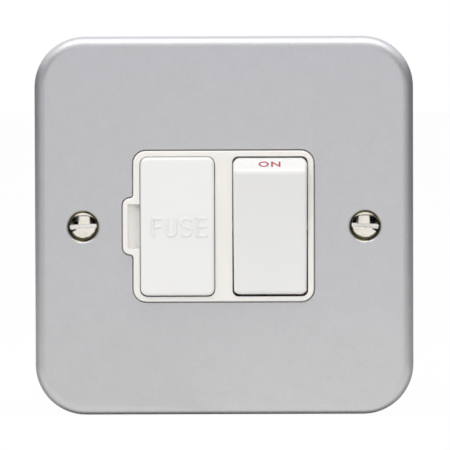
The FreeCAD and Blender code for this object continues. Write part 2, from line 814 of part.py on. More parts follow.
def clip_extension(side):
    """Where a fuse clip lies on its strip: left, right, lower and upper limits."""
    z0 = side * (clip_z - clip_half_width)
    z1 = side * (clip_z + clip_half_width)
    left_x = riser_x - strip_width - strip_thickness
    return left_x, riser_x, min(z0, z1), max(z0, z1)


def pivot_strip_line():
    """From the line pole's fulcrum along the floor and up to the upper fuse clip."""
    x = pole_x["line"]
    half = strip_width / 2
    left_x, right_x, z0, z1 = clip_extension(1)
    inner_x = right_x - strip_thickness
    turn_x = inner_x + strip_width
    route = [(x + half, -half), (x + half, half), (turn_x, half), (turn_x, z1),
             (inner_x, z1), (inner_x, -half)]
    floor_part = plate_of(route, fixed_strip_y, floor_y)
    upright = box(inner_x, right_x, strip_front_y, floor_y, z0, z1)
    shelf = box(left_x, right_x, strip_front_y, strip_rear_y, z0, z1)
    return joined(floor_part, fulcrum("line"), upright, shelf)


def load_strip_line():
    """From the lower fuse clip to the load side's line terminal."""
    left_x, right_x, z0, z1 = clip_extension(-1)
    shelf = box(left_x, right_x, strip_front_y, strip_rear_y, z0, z1)
    lead = terminal_lead(left_x + strip_width / 2, column_x["line"], -1)
    return joined(shelf, lead)


def fuse_clip(side):
    """A spring clip: a base on its strip and two jaws with flared lips."""
    left_x, right_x, z0, z1 = clip_extension(side)
    gap = fuse_radius + clip_gap
    outer = gap + clip_thickness
    base_y = strip_front_y - strip_thickness
    lip_y = fuse_axis_y - clip_front
    end_y = lip_y - clip_flare_length
    base = box(carrier_x - outer, right_x, base_y, strip_front_y, z0, z1)
    jaws = []
    for hand in (-1, 1):
        section = [(carrier_x + hand * gap, base_y), (carrier_x + hand * gap, lip_y),
                   (carrier_x + hand * (gap + clip_flare), end_y),
                   (carrier_x + hand * (outer + clip_flare), end_y),
                   (carrier_x + hand * outer, lip_y), (carrier_x + hand * outer, base_y)]
        jaws.append(prism_along_z(section, z0, z1))
    return joined(base, *jaws)


# Terminals

def terminal_block(column, row):
    """A brass block with a bore for the wire, a tapped hole and a staking spigot."""
    x = column_x[column]
    z = row_z[row]
    half_x = block_width / 2
    half_z = block_height / 2
    body = box(x - half_x, x + half_x, strip_rear_y, block_rear_y, z - half_z, z + half_z)
    body = body.makeChamfer(block_edge, edges_along(body, Vector(0, 1, 0)))
    bore = rod(bore_radius, Vector(x, bore_axis_y, z - half_z), Vector(x, bore_axis_y, z + half_z))
    thread = rod(terminal_screw_radius + screw_gap, Vector(x, bore_axis_y, z),
                 Vector(x, block_rear_y, z))
    spigot = rod(stake_radius, Vector(x, strip_front_y, z), Vector(x, strip_rear_y, z))
    head = rod(stake_head_radius, Vector(x, strip_front_y - stake_head_height, z),
               Vector(x, strip_front_y, z))
    return body.cut([bore, thread]).fuse([spigot, head]).removeSplitter()


def slotted_screw(x, z, tip_y, head_y, top_y, shank_radius, head_radius):
    """A cheese-head screw along Y with a straight slot."""
    shank = rod(shank_radius, Vector(x, tip_y, z), Vector(x, head_y, z))
    head = rod(head_radius, Vector(x, head_y, z), Vector(x, top_y, z))
    slot = box(x - head_radius, x + head_radius, top_y - screw_slot_depth, top_y,
               z - screw_slot_width / 2, z + screw_slot_width / 2)
    return joined(shank, head).cut(slot)


def terminal_screw(column, row):
    return slotted_screw(column_x[column], row_z[row], terminal_tip_y, terminal_head_y,
                         terminal_top_y, terminal_screw_radius, terminal_head_radius)


def housing_screw(x, z):
    tip_y = base_outer_y - housing_screw_length
    return slotted_screw(x, z, tip_y, base_outer_y, base_outer_y + housing_head_height,
                         housing_screw_radius, housing_head_radius)


def earth_leg_x():
    """The outer side of the leg that reaches forward to the plate."""
    return -cavity_half_x + earth_gap


def earth_strap():
    """Joins both earth terminals and reaches forward to the back of the plate."""
    x = column_x["earth"]
    left_x = earth_leg_x()
    right_x = left_x + earth_strap_width
    half = strip_end_width / 2
    spine = box(left_x, right_x, strip_front_y, strip_rear_y, -strip_end_z, strip_end_z)
    ends = []
    for side in (-1, 1):
        z0 = side * (terminal_z - half)
        z1 = side * strip_end_z
        ends.append(box(left_x, x + half, strip_front_y, strip_rear_y, min(z0, z1), max(z0, z1)))
    z0 = earth_leg_z - earth_leg_half_height
    z1 = earth_leg_z + earth_leg_half_height
    leg = box(left_x, left_x + strip_thickness, plate_rear_y, strip_rear_y, z0, z1)
    foot = box(left_x - earth_foot_reach, left_x, plate_rear_y, plate_rear_y + strip_thickness, z0, z1)
    strap = joined(spine, leg, foot, *ends)
    return strap.cut([stake_hole(x, side) for side in (-1, 1)])


# Rear housing

def tower(x, side):
    half = tower_half_x
    z0 = side * cavity_half_z
    z1 = side * housing_half_z
    body = box(x - half, x + half, flange_rear_y, tower_outer_y, min(z0, z1), max(z0, z1))
    return body.makeChamfer(tower_edge, edges_at_y(body, tower_outer_y))


def tower_hollow(x, side):
    """Pocket for a terminal block, channel for its screw, and the two ways in."""
    z = side * terminal_z
    half_x = block_width / 2 + block_gap
    half_z = block_height / 2 + block_gap
    pocket = box(x - half_x, x + half_x, base_floor_y, block_rear_y + block_gap,
                 z - half_z, z + half_z)
    channel = rod(terminal_head_radius + head_channel_gap, Vector(x, block_rear_y, z),
                  Vector(x, tower_inner_y, z))
    access = rod(access_radius, Vector(x, tower_inner_y, z), Vector(x, tower_outer_y, z))
    entry = rod(entry_radius, Vector(x, bore_axis_y, z), Vector(x, bore_axis_y, side * housing_half_z))
    return [pocket, channel, access, entry]


def rest_posts(pole):
    """Two stops on which the lower end of a moving contact lies when it is off."""
    low_y = contact_axis_y + (tip_offset + rest_post_half_height) * contact_sine
    posts = []
    for side in (-1, 1):
        near = pole_x[pole] + side * (strip_width / 2 + running_gap)
        far = near + side * rest_post_width
        posts.append(box(min(near, far), max(near, far), low_y + rest_post_gap, floor_y,
                         -tip_offset - rest_post_half_height, -tip_offset + rest_post_half_height))
    return posts


def clip_pedestal(side):
    """The block that backs a fuse clip."""
    left_x, right_x, z0, z1 = clip_extension(side)
    outer = fuse_radius + clip_gap + clip_thickness
    return box(carrier_x - outer, left_x - clip_gap, strip_front_y, floor_y, z0, z1)


def rear_housing():
    base = slab(-housing_half_x, housing_half_x, -housing_half_z, housing_half_z,
                flange_rear_y, base_outer_y, flange_corner_radius)
    middle_half_z = cavity_half_z + barrier_wall
    middle = box(-housing_half_x, housing_half_x, flange_rear_y, floor_outer_y,
                 -middle_half_z, middle_half_z)
    middle = middle.makeChamfer(tower_edge, edges_at_y(middle, floor_outer_y))
    places = [(x, side) for x in column_x.values() for side in (-1, 1)]
    body = base.fuse([middle] + [tower(x, side) for x, side in places])
    wall = housing_wall
    hollow = slab(-housing_half_x + wall, housing_half_x - wall, -housing_half_z + wall,
                  housing_half_z - wall, flange_rear_y, base_floor_y, flange_corner_radius - wall)
    well = box(-cavity_half_x, cavity_half_x, flange_rear_y, floor_y, -cavity_half_z, cavity_half_z)
    cutters = [hollow, well]
    for x, side in places:
        cutters += tower_hollow(x, side)
    for x, z in corner_places():
        cutters.append(rod(housing_screw_radius + running_gap, Vector(x, base_floor_y, z),
                           Vector(x, base_outer_y, z)))
    body = body.cut(cutters)
    inner = rest_posts("line") + rest_posts("neutral") + [clip_pedestal(-1), clip_pedestal(1)]
    return body.fuse(inner).removeSplitter()


# All pieces by name

def pieces():
    made = {
        "faceplate": faceplate(),
        "plate_pillars": Part.makeCompound([pillar(x, z) for x, z in corner_places()]),
        "fixing_screw_left": fixing_screw(-1, left_slot_angle),
        "fixing_screw_right": fixing_screw(1, right_slot_angle),
        "front_insert": front_insert(),
        "fuse_carrier": fuse_carrier(),
        "fuse_tube": fuse_tube(),
        "fuse_cap_upper": fuse_cap(1),
        "fuse_cap_lower": fuse_cap(-1),
        "rocker": rocker(),
        "fuse_clip_upper": fuse_clip(1),
        "fuse_clip_lower": fuse_clip(-1),
        "pivot_strip_line": pivot_strip_line(),
        "pivot_strip_neutral": pivot_strip_neutral(),
        "load_strip_line": load_strip_line(),
        "earth_strap": earth_strap(),
        "rear_housing": rear_housing(),
        "housing_screws": Part.makeCompound([housing_screw(x, z) for x, z in corner_places()]),
    }
    for pole in pole_x:
        made["plunger_" + pole] = plunger(pole)
        made["plunger_spring_" + pole] = plunger_spring(pole)
        made["moving_contact_" + pole] = moving_contact(pole)
        made["moving_tip_" + pole] = moving_tip(pole)
        made["fixed_contact_" + pole] = fixed_contact(pole)
        made["fixed_tip_" + pole] = fixed_tip(pole)
    for column in column_x:
        for row in row_z:
            made["terminal_" + column + "_" + row] = terminal_block(column, row)
            made["terminal_screw_" + column + "_" + row] = terminal_screw(column, row)
    return made


def write_all():
    os.makedirs("parts", exist_ok=True)
    for name, shape in pieces().items():
        shape.exportStep(os.path.join("parts", name + ".step"))


write_all()
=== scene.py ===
"""Looks of a one-gang switched fused connection unit in a pressed metal plate."""

import logging
import math
from dataclasses import dataclass, field
from enum import Enum

import bmesh
import bpy
import numpy as np
from bpy.types import Material, Node, NodeSocket, NodeTree, Object
from mathutils import Matrix, Vector


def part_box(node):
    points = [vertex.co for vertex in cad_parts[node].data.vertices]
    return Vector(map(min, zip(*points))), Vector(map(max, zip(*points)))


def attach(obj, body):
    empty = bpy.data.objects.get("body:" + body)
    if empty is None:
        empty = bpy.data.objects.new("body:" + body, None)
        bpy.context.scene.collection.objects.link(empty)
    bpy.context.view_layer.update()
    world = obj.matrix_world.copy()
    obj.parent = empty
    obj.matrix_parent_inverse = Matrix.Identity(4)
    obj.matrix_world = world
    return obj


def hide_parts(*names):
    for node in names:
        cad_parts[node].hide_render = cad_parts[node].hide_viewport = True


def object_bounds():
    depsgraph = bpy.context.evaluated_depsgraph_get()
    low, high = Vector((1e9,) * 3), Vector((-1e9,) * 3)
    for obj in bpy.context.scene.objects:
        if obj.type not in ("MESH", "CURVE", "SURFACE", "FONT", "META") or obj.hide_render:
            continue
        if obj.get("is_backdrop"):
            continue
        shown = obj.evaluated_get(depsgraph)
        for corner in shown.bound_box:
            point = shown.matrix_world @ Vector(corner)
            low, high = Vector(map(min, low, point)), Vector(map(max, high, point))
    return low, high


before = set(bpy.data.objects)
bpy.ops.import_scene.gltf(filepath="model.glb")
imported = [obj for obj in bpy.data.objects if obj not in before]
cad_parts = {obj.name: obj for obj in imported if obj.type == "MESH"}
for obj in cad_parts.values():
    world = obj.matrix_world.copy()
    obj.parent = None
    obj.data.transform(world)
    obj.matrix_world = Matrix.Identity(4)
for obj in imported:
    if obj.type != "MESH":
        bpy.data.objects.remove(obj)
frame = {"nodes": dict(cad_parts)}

LOG = logging.getLogger("spur_unit")
MM = 0.001
IMAGE_PIXELS = 450
SCREW_PLACE = 30.15  # each fixing screw's distance from the middle, in millimetres
BEVEL_SAMPLES = 4
EDGE_RANGE = (0.05, 0.4)  # where a rubbed edge starts to show and where it shows in full
END_STEPS = 5  # rings of a stroke's round end
MERGE_DISTANCE = 1e-7  # in metres
WELD_DISTANCE = 1e-6  # in metres
FACE_WEIGHT = 80  # above 50, large faces pull smoothed normals more
QUAD_SIGNS = np.array([[-1, -1], [1, -1], [1, 1], [-1, 1]], float)
WHITE = (1.0, 1.0, 1.0)
Array = np.ndarray
Colour = tuple[float, float, float]
Place = tuple[float, float, float]
Span = tuple[float, float]
Grid = tuple[Array, Array]
Nodes = dict[str, Object]
Settings = dict[str, object]
Values = dict[str | int, object]


class Side(Enum):
    """The left and the right of the unit, seen from the front."""

    LEFT = -1
    RIGHT = 1


class Pole(Enum):
    """The two switched poles."""

    LINE = "line"
    NEUTRAL = "neutral"


class Column(Enum):
    """The three columns of terminals."""

    EARTH = "earth"
    LINE = "line"
    NEUTRAL = "neutral"


class Row(Enum):
    """The upper and the lower row of terminals."""

    SUPPLY = "supply"
    LOAD = "load"


# Shader maths


@dataclass(frozen=True)
class Field:
    """A shader socket that holds a number for each point, with Python arithmetic."""

    tree: NodeTree
    socket: NodeSocket

    def _math(self, operation: str, *terms: "Field | float") -> "Field":
        """Adds one Math node.

        Args:
            operation: The Math node's operation.
            terms: The node's inputs, in order.

        Returns:
            The node's value.
        """
        node = add_node(self.tree, "ShaderNodeMath", {"operation": operation},
                        dict(enumerate(terms)))
        return Field(self.tree, node.outputs["Value"])

    def __add__(self, other: "Field | float") -> "Field":
        """Sum."""
        return self._math("ADD", self, other)

    def __radd__(self, other: float) -> "Field":
        """Sum with a number on the left."""
        return self._math("ADD", other, self)

    def __sub__(self, other: "Field | float") -> "Field":
        """Difference."""
        return self._math("SUBTRACT", self, other)

    def __rsub__(self, other: float) -> "Field":
        """Difference from a number on the left."""
        return self._math("SUBTRACT", other, self)

    def __mul__(self, other: "Field | float") -> "Field":
        """Product."""
        return self._math("MULTIPLY", self, other)

    def __rmul__(self, other: float) -> "Field":
        """Product with a number on the left."""
        return self._math("MULTIPLY", other, self)

    def __pow__(self, other: "Field | float") -> "Field":
        """Power."""
        return self._math("POWER", self, other)

    def __rpow__(self, other: float) -> "Field":
        """Power of a number on the left."""
        return self._math("POWER", other, self)

    def size(self) -> "Field":
        """The value without its sign."""
        return self._math("ABSOLUTE", self)

    def within(self) -> "Field":
        """The value held between nought and one."""
        return self._math("MINIMUM", self._math("MAXIMUM", self, 0.0), 1.0)


def connect(tree: NodeTree, slot: NodeSocket, value: object) -> None:
    """Sets a socket to a value, or links it where the value is a socket.

    Args:
        tree: The node tree that holds the socket.
        slot: The input socket.
        value: A Field, a socket, a number or a colour.
    """
    if isinstance(value, Field):
        tree.links.new(value.socket, slot)
    elif isinstance(value, NodeSocket):
        tree.links.new(value, slot)
    elif slot.type == "RGBA":
        slot.default_value = (*value, 1.0)
    else:
        slot.default_value = value


def add_node(tree: NodeTree, kind: str, settings: Settings, values: Values) -> Node:
    """Adds any node to a tree.

    Args:
        tree: The node tree.
        kind: The node's type.
        settings: Properties of the node, set first.
        values: Numbers, colours or links of its input sockets, by name or place.

    Returns:
        The node.
    """
    node = tree.nodes.new(kind)
    for key, value in settings.items():
        setattr(node, key, value)
    for key, value in values.items():
        connect(tree, node.inputs[key], value)
    return node


def seen_by(tree: NodeTree, kinds: list[str]) -> Field:
    """Tells by which rays a point is met.

    Args:
        tree: The node tree.
        kinds: The kinds of ray, such as Camera or Glossy.

    Returns:
        One for a ray of one of the kinds, nought for any other.
    """
    path = add_node(tree, "ShaderNodeLightPath", {}, {})
    first, *others = (Field(tree, path.outputs[f"Is {kind} Ray"]) for kind in kinds)
    for other in others:
        first = first + other
    return first.within()


class Shader:
    """One material's node tree round one Principled shader."""

    def __init__(self, name: str) -> None:
        """Makes a material with its output and its Principled shader.

        Args:
            name: The material's name.
        """
        self.material = bpy.data.materials.new(name)
        self.material.use_nodes = True
        self.tree = self.material.node_tree
        self.tree.nodes.clear()
        self.surface = self.node("ShaderNodeBsdfPrincipled", {}, {})
        self.output = self.node("ShaderNodeOutputMaterial", {},
                                {"Surface": self.surface.outputs["BSDF"]})
        self.place = self.node("ShaderNodeTexCoord", {}, {}).outputs["Object"]

    def node(self, kind: str, settings: Settings, values: Values) -> Node:
        """Adds any node to this material; the inputs are those of add_node."""
        return add_node(self.tree, kind, settings, values)

    def set(self, **values: object) -> None:
        """Sets inputs of the Principled shader; an underscore stands for a space."""
        for key, value in values.items():
            connect(self.tree, self.surface.inputs[key.replace("_", " ")], value)

    def noise(self, grain: float, detail: float = 2.0, stretch: Colour = (1.0, 1.0, 1.0)) -> Field:
        """Cloudy noise from nought to one.

        Args:
            grain: Size of one cloud in millimetres.
            detail: How many finer layers it has.
            stretch: How much the clouds are drawn out along X, Y and Z.

        Returns:
            The noise value.
        """
        scale = tuple(1.0 / (grain * MM * s) for s in stretch)
        mapped = self.node("ShaderNodeMapping", {}, {"Vector": self.place, "Scale": scale})
        node = self.node("ShaderNodeTexNoise", {},
                         {"Vector": mapped.outputs["Vector"], "Scale": 1.0, "Detail": detail})
        return Field(self.tree, node.outputs["Fac"])

    def eased(self, value: Field, low: float, high: float) -> Field:
        """A smooth step of a value.

        Args:
            value: The value.
            low: Where the step starts.
            high: Where the step ends.

        Returns:
            Nought below low, one above high.
        """
        node = self.node("ShaderNodeMapRange", {"interpolation_type": "SMOOTHSTEP"},
                         {"Value": value, "From Min": low, "From Max": high})
        return Field(self.tree, node.outputs["Result"])

    def rounded(self, radius: float) -> NodeSocket:
        """The normal with its edges rounded over a radius in millimetres."""
        bevel = self.node("ShaderNodeBevel", {"samples": BEVEL_SAMPLES}, {"Radius": radius * MM})
        return bevel.outputs["Normal"]

    def edges(self, radius: float) -> Field:
        """How near a point is to a convex or concave edge.

        The normal rounded over a radius is compared with the true one.

        Args:
            radius: The rounding radius in millimetres.

        Returns:
            Nought on flats and rising on edges.
        """
        true = self.node("ShaderNodeNewGeometry", {}, {})
        dot = self.node("ShaderNodeVectorMath", {"operation": "DOT_PRODUCT"},
                        {0: self.rounded(radius), 1: true.outputs["Normal"]})
        return (1.0 - Field(self.tree, dot.outputs["Value"])).within()

    def along(self, axis: str) -> Field:
        """The point's place along one axis, in metres."""
        parts = self.node("ShaderNodeSeparateXYZ", {}, {"Vector": self.place})
        return Field(self.tree, parts.outputs[axis])

    def reach_from(self, place: float, rise: float = 0.0) -> Field:
        """How far a point stands from the nearer of two axes along Y, left and right of the middle.

        The reach is the root of (|x| - place) squared plus (z - rise) squared.

        Args:
            place: Each axis's distance from the middle in millimetres.
            rise: Each axis's height in millimetres.

        Returns:
            The reach in metres.
        """
        across, up = self.along("X").size() - place * MM, self.along("Z") - rise * MM
        return (across * across + up * up) ** 0.5

    def mixed(self, share: Field, first: object, second: object) -> NodeSocket:
        """Mixes two colours.

        Args:
            share: How much of the second one shows.
            first: A colour or a colour socket.
            second: A colour or a colour socket.

        Returns:
            The mixed colour.
        """
        node = self.node("ShaderNodeMix", {"data_type": "RGBA"},
                         {"Factor": share, 6: first, 7: second})
        return node.outputs[2]

    def relief(self, height: Field, depth: float, edge_radius: float = 0.0) -> None:
        """Bumps the surface.

        Args:
            height: The relief, from nought to one.
            depth: Its height in millimetres.
            edge_radius: How far sharp edges are rounded in shading, in millimetres.
        """
        values = {"Height": height, "Distance": depth * MM, "Strength": 1.0}
        if edge_radius:
            values["Normal"] = self.rounded(edge_radius)
        bump = self.node("ShaderNodeBump", {}, values)
        self.set(Normal=bump.outputs["Normal"])


# Finishes: sizes, reaches and depths are in millimetres


def scaled(colour: Colour, factor: float) -> Colour:
    """A colour made lighter or darker by a factor."""
    return tuple(channel * factor for channel in colour)


@dataclass(frozen=True)
class CoatedSteel:
    """Pressed steel under a satin metallic coat; its colour holds painted shade, darker and bluer
    towards the top, and dark, tinted olive in patches, in the recesses where the fixing screws
    seat.
    """

    # lower_colour and upper_colour hold painted shade: the coat is lighter towards the bottom,
    # darker and bluer towards the top
    lower_colour: Colour = (0.619, 0.617, 0.627)
    upper_colour: Colour = (0.589, 0.591, 0.617)
    half_height: float = 44.0
    # painted shade in the recess round each fixing screw: dark, tinted olive in patches
    seat_shade_colour: Colour = (0.05, 0.047, 0.035)
    seat_shade_olive: Colour = (0.24, 0.20, 0.085)
    seat_reach: Span = (3.22, 3.5)
    seat_depth: Span = (0.7, 0.9)
    seat_olive_size: float = 1.6
    seat_olive_range: Span = (0.4, 0.65)
    cloud_size: float = 3.2
    cloud_share: float = 0.35
    cloud_shade: float = 0.125
    cloud_dull: float = 0.05
    flake_size: float = 0.34
    wear_radius: float = 0.3
    wear_size: float = 1.4
    wear_least: float = 0.4
    wear_range: Span = (0.06, 0.35)
    wear_share: float = 0.35
    wear_polish: float = 0.08
    roughness: float = 0.42
    metallic: float = 0.75
    peel_size: float = 0.55
    peel_depth: float = 0.008

    def make(self) -> Material:
        """The coat: metal flake in a clear base, with soft clouds and fine peel.

        Returns:
            The material.
        """
        shader = Shader("coated_steel")
        clouds = shader.noise(self.cloud_size, detail=3.0)
        flake = shader.noise(self.flake_size)
        grain = clouds * self.cloud_share + flake * (1.0 - self.cloud_share)
        dark, light = 1.0 - self.cloud_shade, 1.0 + self.cloud_shade
        lower, upper = (shader.mixed(grain, scaled(colour, dark), scaled(colour, light))
                        for colour in (self.lower_colour, self.upper_colour))
        # painted shade: the coat's colour fades from the lighter lower colour to the darker, bluer
        # upper one
        fade = shader.eased(shader.along("Z"), -self.half_height * MM, self.half_height * MM)
        patchy = self.wear_least + shader.noise(self.wear_size)
        worn = shader.eased(shader.edges(self.wear_radius) * patchy, *self.wear_range)
        coat = shader.mixed(worn * self.wear_share, shader.mixed(fade, lower, upper),
                            scaled(self.lower_colour, light))
        # painted shade in the recess round each fixing screw, dark with olive patches, in front of
        # the seat's depth
        inner, outer = (reach * MM for reach in self.seat_reach)
        beside = shader.eased(shader.reach_from(SCREW_PLACE), inner, outer)
        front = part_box("faceplate")[0].y
        start, end = (front + depth * MM for depth in self.seat_depth)
        near = 1.0 - shader.eased(shader.along("Y"), start, end)
        seat = near * (1.0 - beside)
        seat_shade_tone = shader.mixed(shader.eased(shader.noise(self.seat_olive_size), *self.seat_olive_range),
                               self.seat_shade_colour, self.seat_shade_olive)
        shader.set(Base_Color=shader.mixed(seat, coat, seat_shade_tone), Metallic=self.metallic,
                   Roughness=self.roughness + clouds * self.cloud_dull - worn * self.wear_polish)
        shader.relief(shader.noise(self.peel_size), self.peel_depth)
        return shader.material


@dataclass(frozen=True)
class MouldedPlastic:
    """Thermoset or thermoplastic moulding with a faint grain."""

    name: str
    colour: Colour
    roughness: float = 0.34
    grain_size: float = 0.35
    grain_depth: float = 0.002
    edge_radius: float = 0.12
    under_glow: float = 0.08
    glow_reach: Colour = (1.1, 0.95, 0.8)
    flow_size: float = 6.0
    flow_shade: float = 0.965
    flow_dull: float = 0.05
    polish_radius: float = 0.25
    polish: float = 0.06
    refraction: float = 1.5

    def make(self) -> Material:
        """The moulding: soft light under the surface, faint flow shading and polished edges.

        Returns:
            The material.
        """
        shader = Shader(self.name)
        flow = shader.noise(self.flow_size, detail=3.0)
        edge = shader.eased(shader.edges(self.polish_radius), *EDGE_RANGE)
        base = shader.mixed(flow, scaled(self.colour, self.flow_shade), self.colour)
        shader.set(Base_Color=base, IOR=self.refraction,
                   Roughness=self.roughness + flow * self.flow_dull - edge * self.polish,
                   Subsurface_Weight=self.under_glow, Subsurface_Radius=self.glow_reach,
                   Subsurface_Scale=MM)
        shader.relief(shader.noise(self.grain_size), self.grain_depth, self.edge_radius)
        return shader.material


@dataclass(frozen=True)
class PaintedRimShade:
    """Painted shade that creeps in from the rim of a fixing screw's head, most at its foot."""

    colour: Colour = (0.105, 0.095, 0.06)
    rise: float = 0.34
    reach: Span = (2.66, 2.86)
    wobble_size: float = 1.1
    wobble: float = 0.5

    def over(self, shader: Shader, metal: NodeSocket) -> NodeSocket:
        """Lays the painted shade over the metal's colour.

        Args:
            shader: The metal's shader.
            metal: The clean metal's colour.

        Returns:
            The colour with the painted shade.
        """
        uneven = (shader.noise(self.wobble_size) - 0.5) * self.wobble * MM
        inner, outer = (reach * MM for reach in self.reach)
        painted_rim_shade = shader.eased(shader.reach_from(SCREW_PLACE, self.rise) + uneven, inner, outer)
        return shader.mixed(painted_rim_shade, metal, self.colour)


@dataclass(frozen=True)
class PlatedMetal:
    """Turned, stamped or plated metal."""

    name: str
    colour: Colour
    tarnish: Colour
    roughness: float = 0.22
    tarnish_share: float = 0.35
    mark_depth: float = 0.003
    edge_radius: float = 0.08
    rim: PaintedRimShade | None = None
    patch_size: float = 2.4
    patch_range: Span = (0.42, 0.72)
    patch_dull: float = 0.12
    mark_size: float = 0.12
    mark_stretch: Colour = (6.0, 1.0, 1.0)
    mark_dull: float = 0.05
    polish_radius: float = 0.2
    polish: float = 0.05

    def make(self) -> Material:
        """The metal: tarnish in patches, bright rubbed edges, fine tool marks and any painted shade
        at the rim.

        Returns:
            The material.
        """
        shader = Shader(self.name)
        patches = shader.eased(shader.noise(self.patch_size, detail=4.0), *self.patch_range)
        marks = shader.noise(self.mark_size, stretch=self.mark_stretch)
        edge = shader.eased(shader.edges(self.polish_radius), *EDGE_RANGE)
        share = (patches * self.tarnish_share * (1.0 - edge)).within()
        colour = shader.mixed(share, self.colour, self.tarnish)
        if self.rim:
            colour = self.rim.over(shader, colour)
        shader.set(Base_Color=colour, Metallic=1.0,
                   Roughness=(self.roughness + patches * self.patch_dull
                              + marks * self.mark_dull - edge * self.polish))
        shader.relief(marks, self.mark_depth, self.edge_radius)
        return shader.material


@dataclass(frozen=True)
class Ceramic:
    """Glazed tube of the fuse."""

    colour: Colour = (0.80, 0.79, 0.74)
    roughness: float = 0.28
    speck_size: float = 0.5
    speck_range: Span = (0.66, 0.74)
    speck_share: float = 0.35
    speck_shade: float = 0.7
    speck_dull: float = 0.1
    glaze: float = 0.4
    ripple_size: float = 1.2
    ripple_depth: float = 0.006

    def make(self) -> Material:
        """The tube: faint specks under a clear glaze.

        Returns:
            The material.
        """
        shader = Shader("fuse_ceramic")
        specks = shader.eased(shader.noise(self.speck_size), *self.speck_range)
        base = shader.mixed(specks * self.speck_share, self.colour,
                            scaled(self.colour, self.speck_shade))
        shader.set(Base_Color=base, Roughness=self.roughness + specks * self.speck_dull,
                   Coat_Weight=self.glaze)
        shader.relief(shader.noise(self.ripple_size), self.ripple_depth)
        return shader.material


@dataclass(frozen=True)
class PrintedInk:
    """Pad-printed ink of the legend."""

    colour: Colour = (0.36, 0.065, 0.08)
    roughness: float = 0.45
    thin_factor: float = 1.25
    thin_lift: float = 0.02
    cover_size: float = 0.25
    cover_dull: float = 0.1
    cover_depth: float = 0.003

    def make(self) -> Material:
        """The ink: uneven cover with a matt surface.

        Returns:
            The material.
        """
        shader = Shader("legend_ink")
        cover = shader.noise(self.cover_size)
        thin = tuple(min(1.0, channel * self.thin_factor + self.thin_lift)
                     for channel in self.colour)
        shader.set(Base_Color=shader.mixed(cover, self.colour, thin),
                   Roughness=self.roughness + cover * self.cover_dull)
        shader.relief(cover, self.cover_depth)
        return shader.material


WHITE_FRONT = MouldedPlastic("front_white", (0.862, 0.836, 0.803), under_glow=0.3)
WHITE_DRAWER = MouldedPlastic("drawer_white", (0.835, 0.83, 0.815), under_glow=0.12)
WHITE_ROCKER = MouldedPlastic("rocker_white", (0.80, 0.795, 0.785), roughness=0.27,
                              under_glow=0.2)
GREY_HOUSING = MouldedPlastic("housing_grey", (0.60, 0.60, 0.585), roughness=0.42,
                              grain_depth=0.004)
PLUNGER_PLASTIC = MouldedPlastic("plunger_plastic", (0.12, 0.12, 0.125), roughness=0.38)
NICKEL = PlatedMetal("nickel_plate", (0.80, 0.77, 0.70), (0.42, 0.36, 0.24), roughness=0.05,
                     tarnish_share=0.25, mark_depth=0.001)
# the fixing screws' heads carry painted shade at the rim, most at the foot
SCREW_HEAD = PlatedMetal("screw_head_plate", (0.82, 0.785, 0.715), (0.50, 0.43, 0.31),
                         roughness=0.05, tarnish_share=0.3, mark_depth=0.001, rim=PaintedRimShade())
# painted highlight: the slot's metal is lighter and rougher than the head's, so that the slot shows
# as a bright bar
SLOT_HIGHLIGHT = PlatedMetal("slot_painted_highlight", (0.95, 0.94, 0.91), (0.75, 0.72, 0.66), roughness=0.38,
                        tarnish_share=0.3)
ZINC = PlatedMetal("zinc_plate", (0.72, 0.72, 0.70), (0.50, 0.48, 0.40), roughness=0.3)
BRASS = PlatedMetal("brass", (0.80, 0.60, 0.27), (0.42, 0.27, 0.11), roughness=0.26)
TINNED = PlatedMetal("tinned_brass", (0.78, 0.75, 0.66), (0.52, 0.46, 0.34), roughness=0.3)
COPPER = PlatedMetal("copper", (0.84, 0.46, 0.32), (0.42, 0.17, 0.10), roughness=0.3)
SILVER = PlatedMetal("contact_silver", (0.88, 0.87, 0.84), (0.45, 0.42, 0.37), roughness=0.25)
SPRING_WIRE = PlatedMetal("spring_wire", (0.55, 0.55, 0.56), (0.25, 0.23, 0.22), roughness=0.3)


# Meshes from arrays


def grid_faces(rows: int, columns: int, wrap_rows: bool = False) -> Array:
    """Quads of a grid of rings whose points are numbered row by row.

    Args:
        rows: Number of rows of points.
        columns: Number of points in a row, which closes on itself.
        wrap_rows: Whether the last row joins the first.

    Returns:
        An array of four point numbers for each quad.
    """
    r = np.arange(rows if wrap_rows else rows - 1)[:, None]
    c = np.arange(columns)[None, :]
    below, beside = (r + 1) % rows, (c + 1) % columns
    corners = (r * columns + c, r * columns + beside, below * columns + beside, below * columns + c)
    return np.stack(np.broadcast_arrays(*corners), axis=-1).reshape(-1, 4)


def mesh_piece(name: str, points: Array, faces: Array, smooth: bool = True) -> Object:
    """Makes an object from arrays of points and quads.

    Args:
        name: The piece's name.
        points: Points in metres, one row each.
        faces: Point numbers of each quad.
        smooth: Whether it shades smooth.

    Returns:
        The object, at the origin.
    """
    mesh = bpy.data.meshes.new(name)
    mesh.from_pydata(points.tolist(), [], faces.tolist())
    mesh.polygons.foreach_set("use_smooth", np.full(len(mesh.polygons), smooth))
    mesh.update()
    piece = bpy.data.objects.new(name, mesh)
    bpy.context.scene.collection.objects.link(piece)
    return piece


def flat_piece(name: str, centre: Place, half: Place) -> Object:
    """Makes one flat rectangle, with corners at its centre plus and minus its half sizes.

    Args:
        name: The piece's name.
        centre: Its centre in metres.
        half: Its half sizes along X, Y and Z in metres; one of them is nought.

    Returns:
        The object, at the origin.
    """
    axes = [axis for axis in range(3) if half[axis]]
    corners = np.zeros((len(QUAD_SIGNS), 3))
    corners[:, axes] = QUAD_SIGNS * np.array([half[axis] for axis in axes])
    return mesh_piece(name, corners + np.array(centre), np.array([[0, 1, 2, 3]]), smooth=False)


def joined_grids(grids: list[Grid]) -> Grid:
    """Puts several grids into one pair of arrays.

    Args:
        grids: Points and faces of each grid.

    Returns:
        All points and all faces, renumbered.
    """
    starts = np.cumsum([0] + [len(points) for points, _ in grids[:-1]])
    points = np.concatenate([points for points, _ in grids])
    faces = np.concatenate([faces + start for (_, faces), start in zip(grids, starts)])
    return points, faces


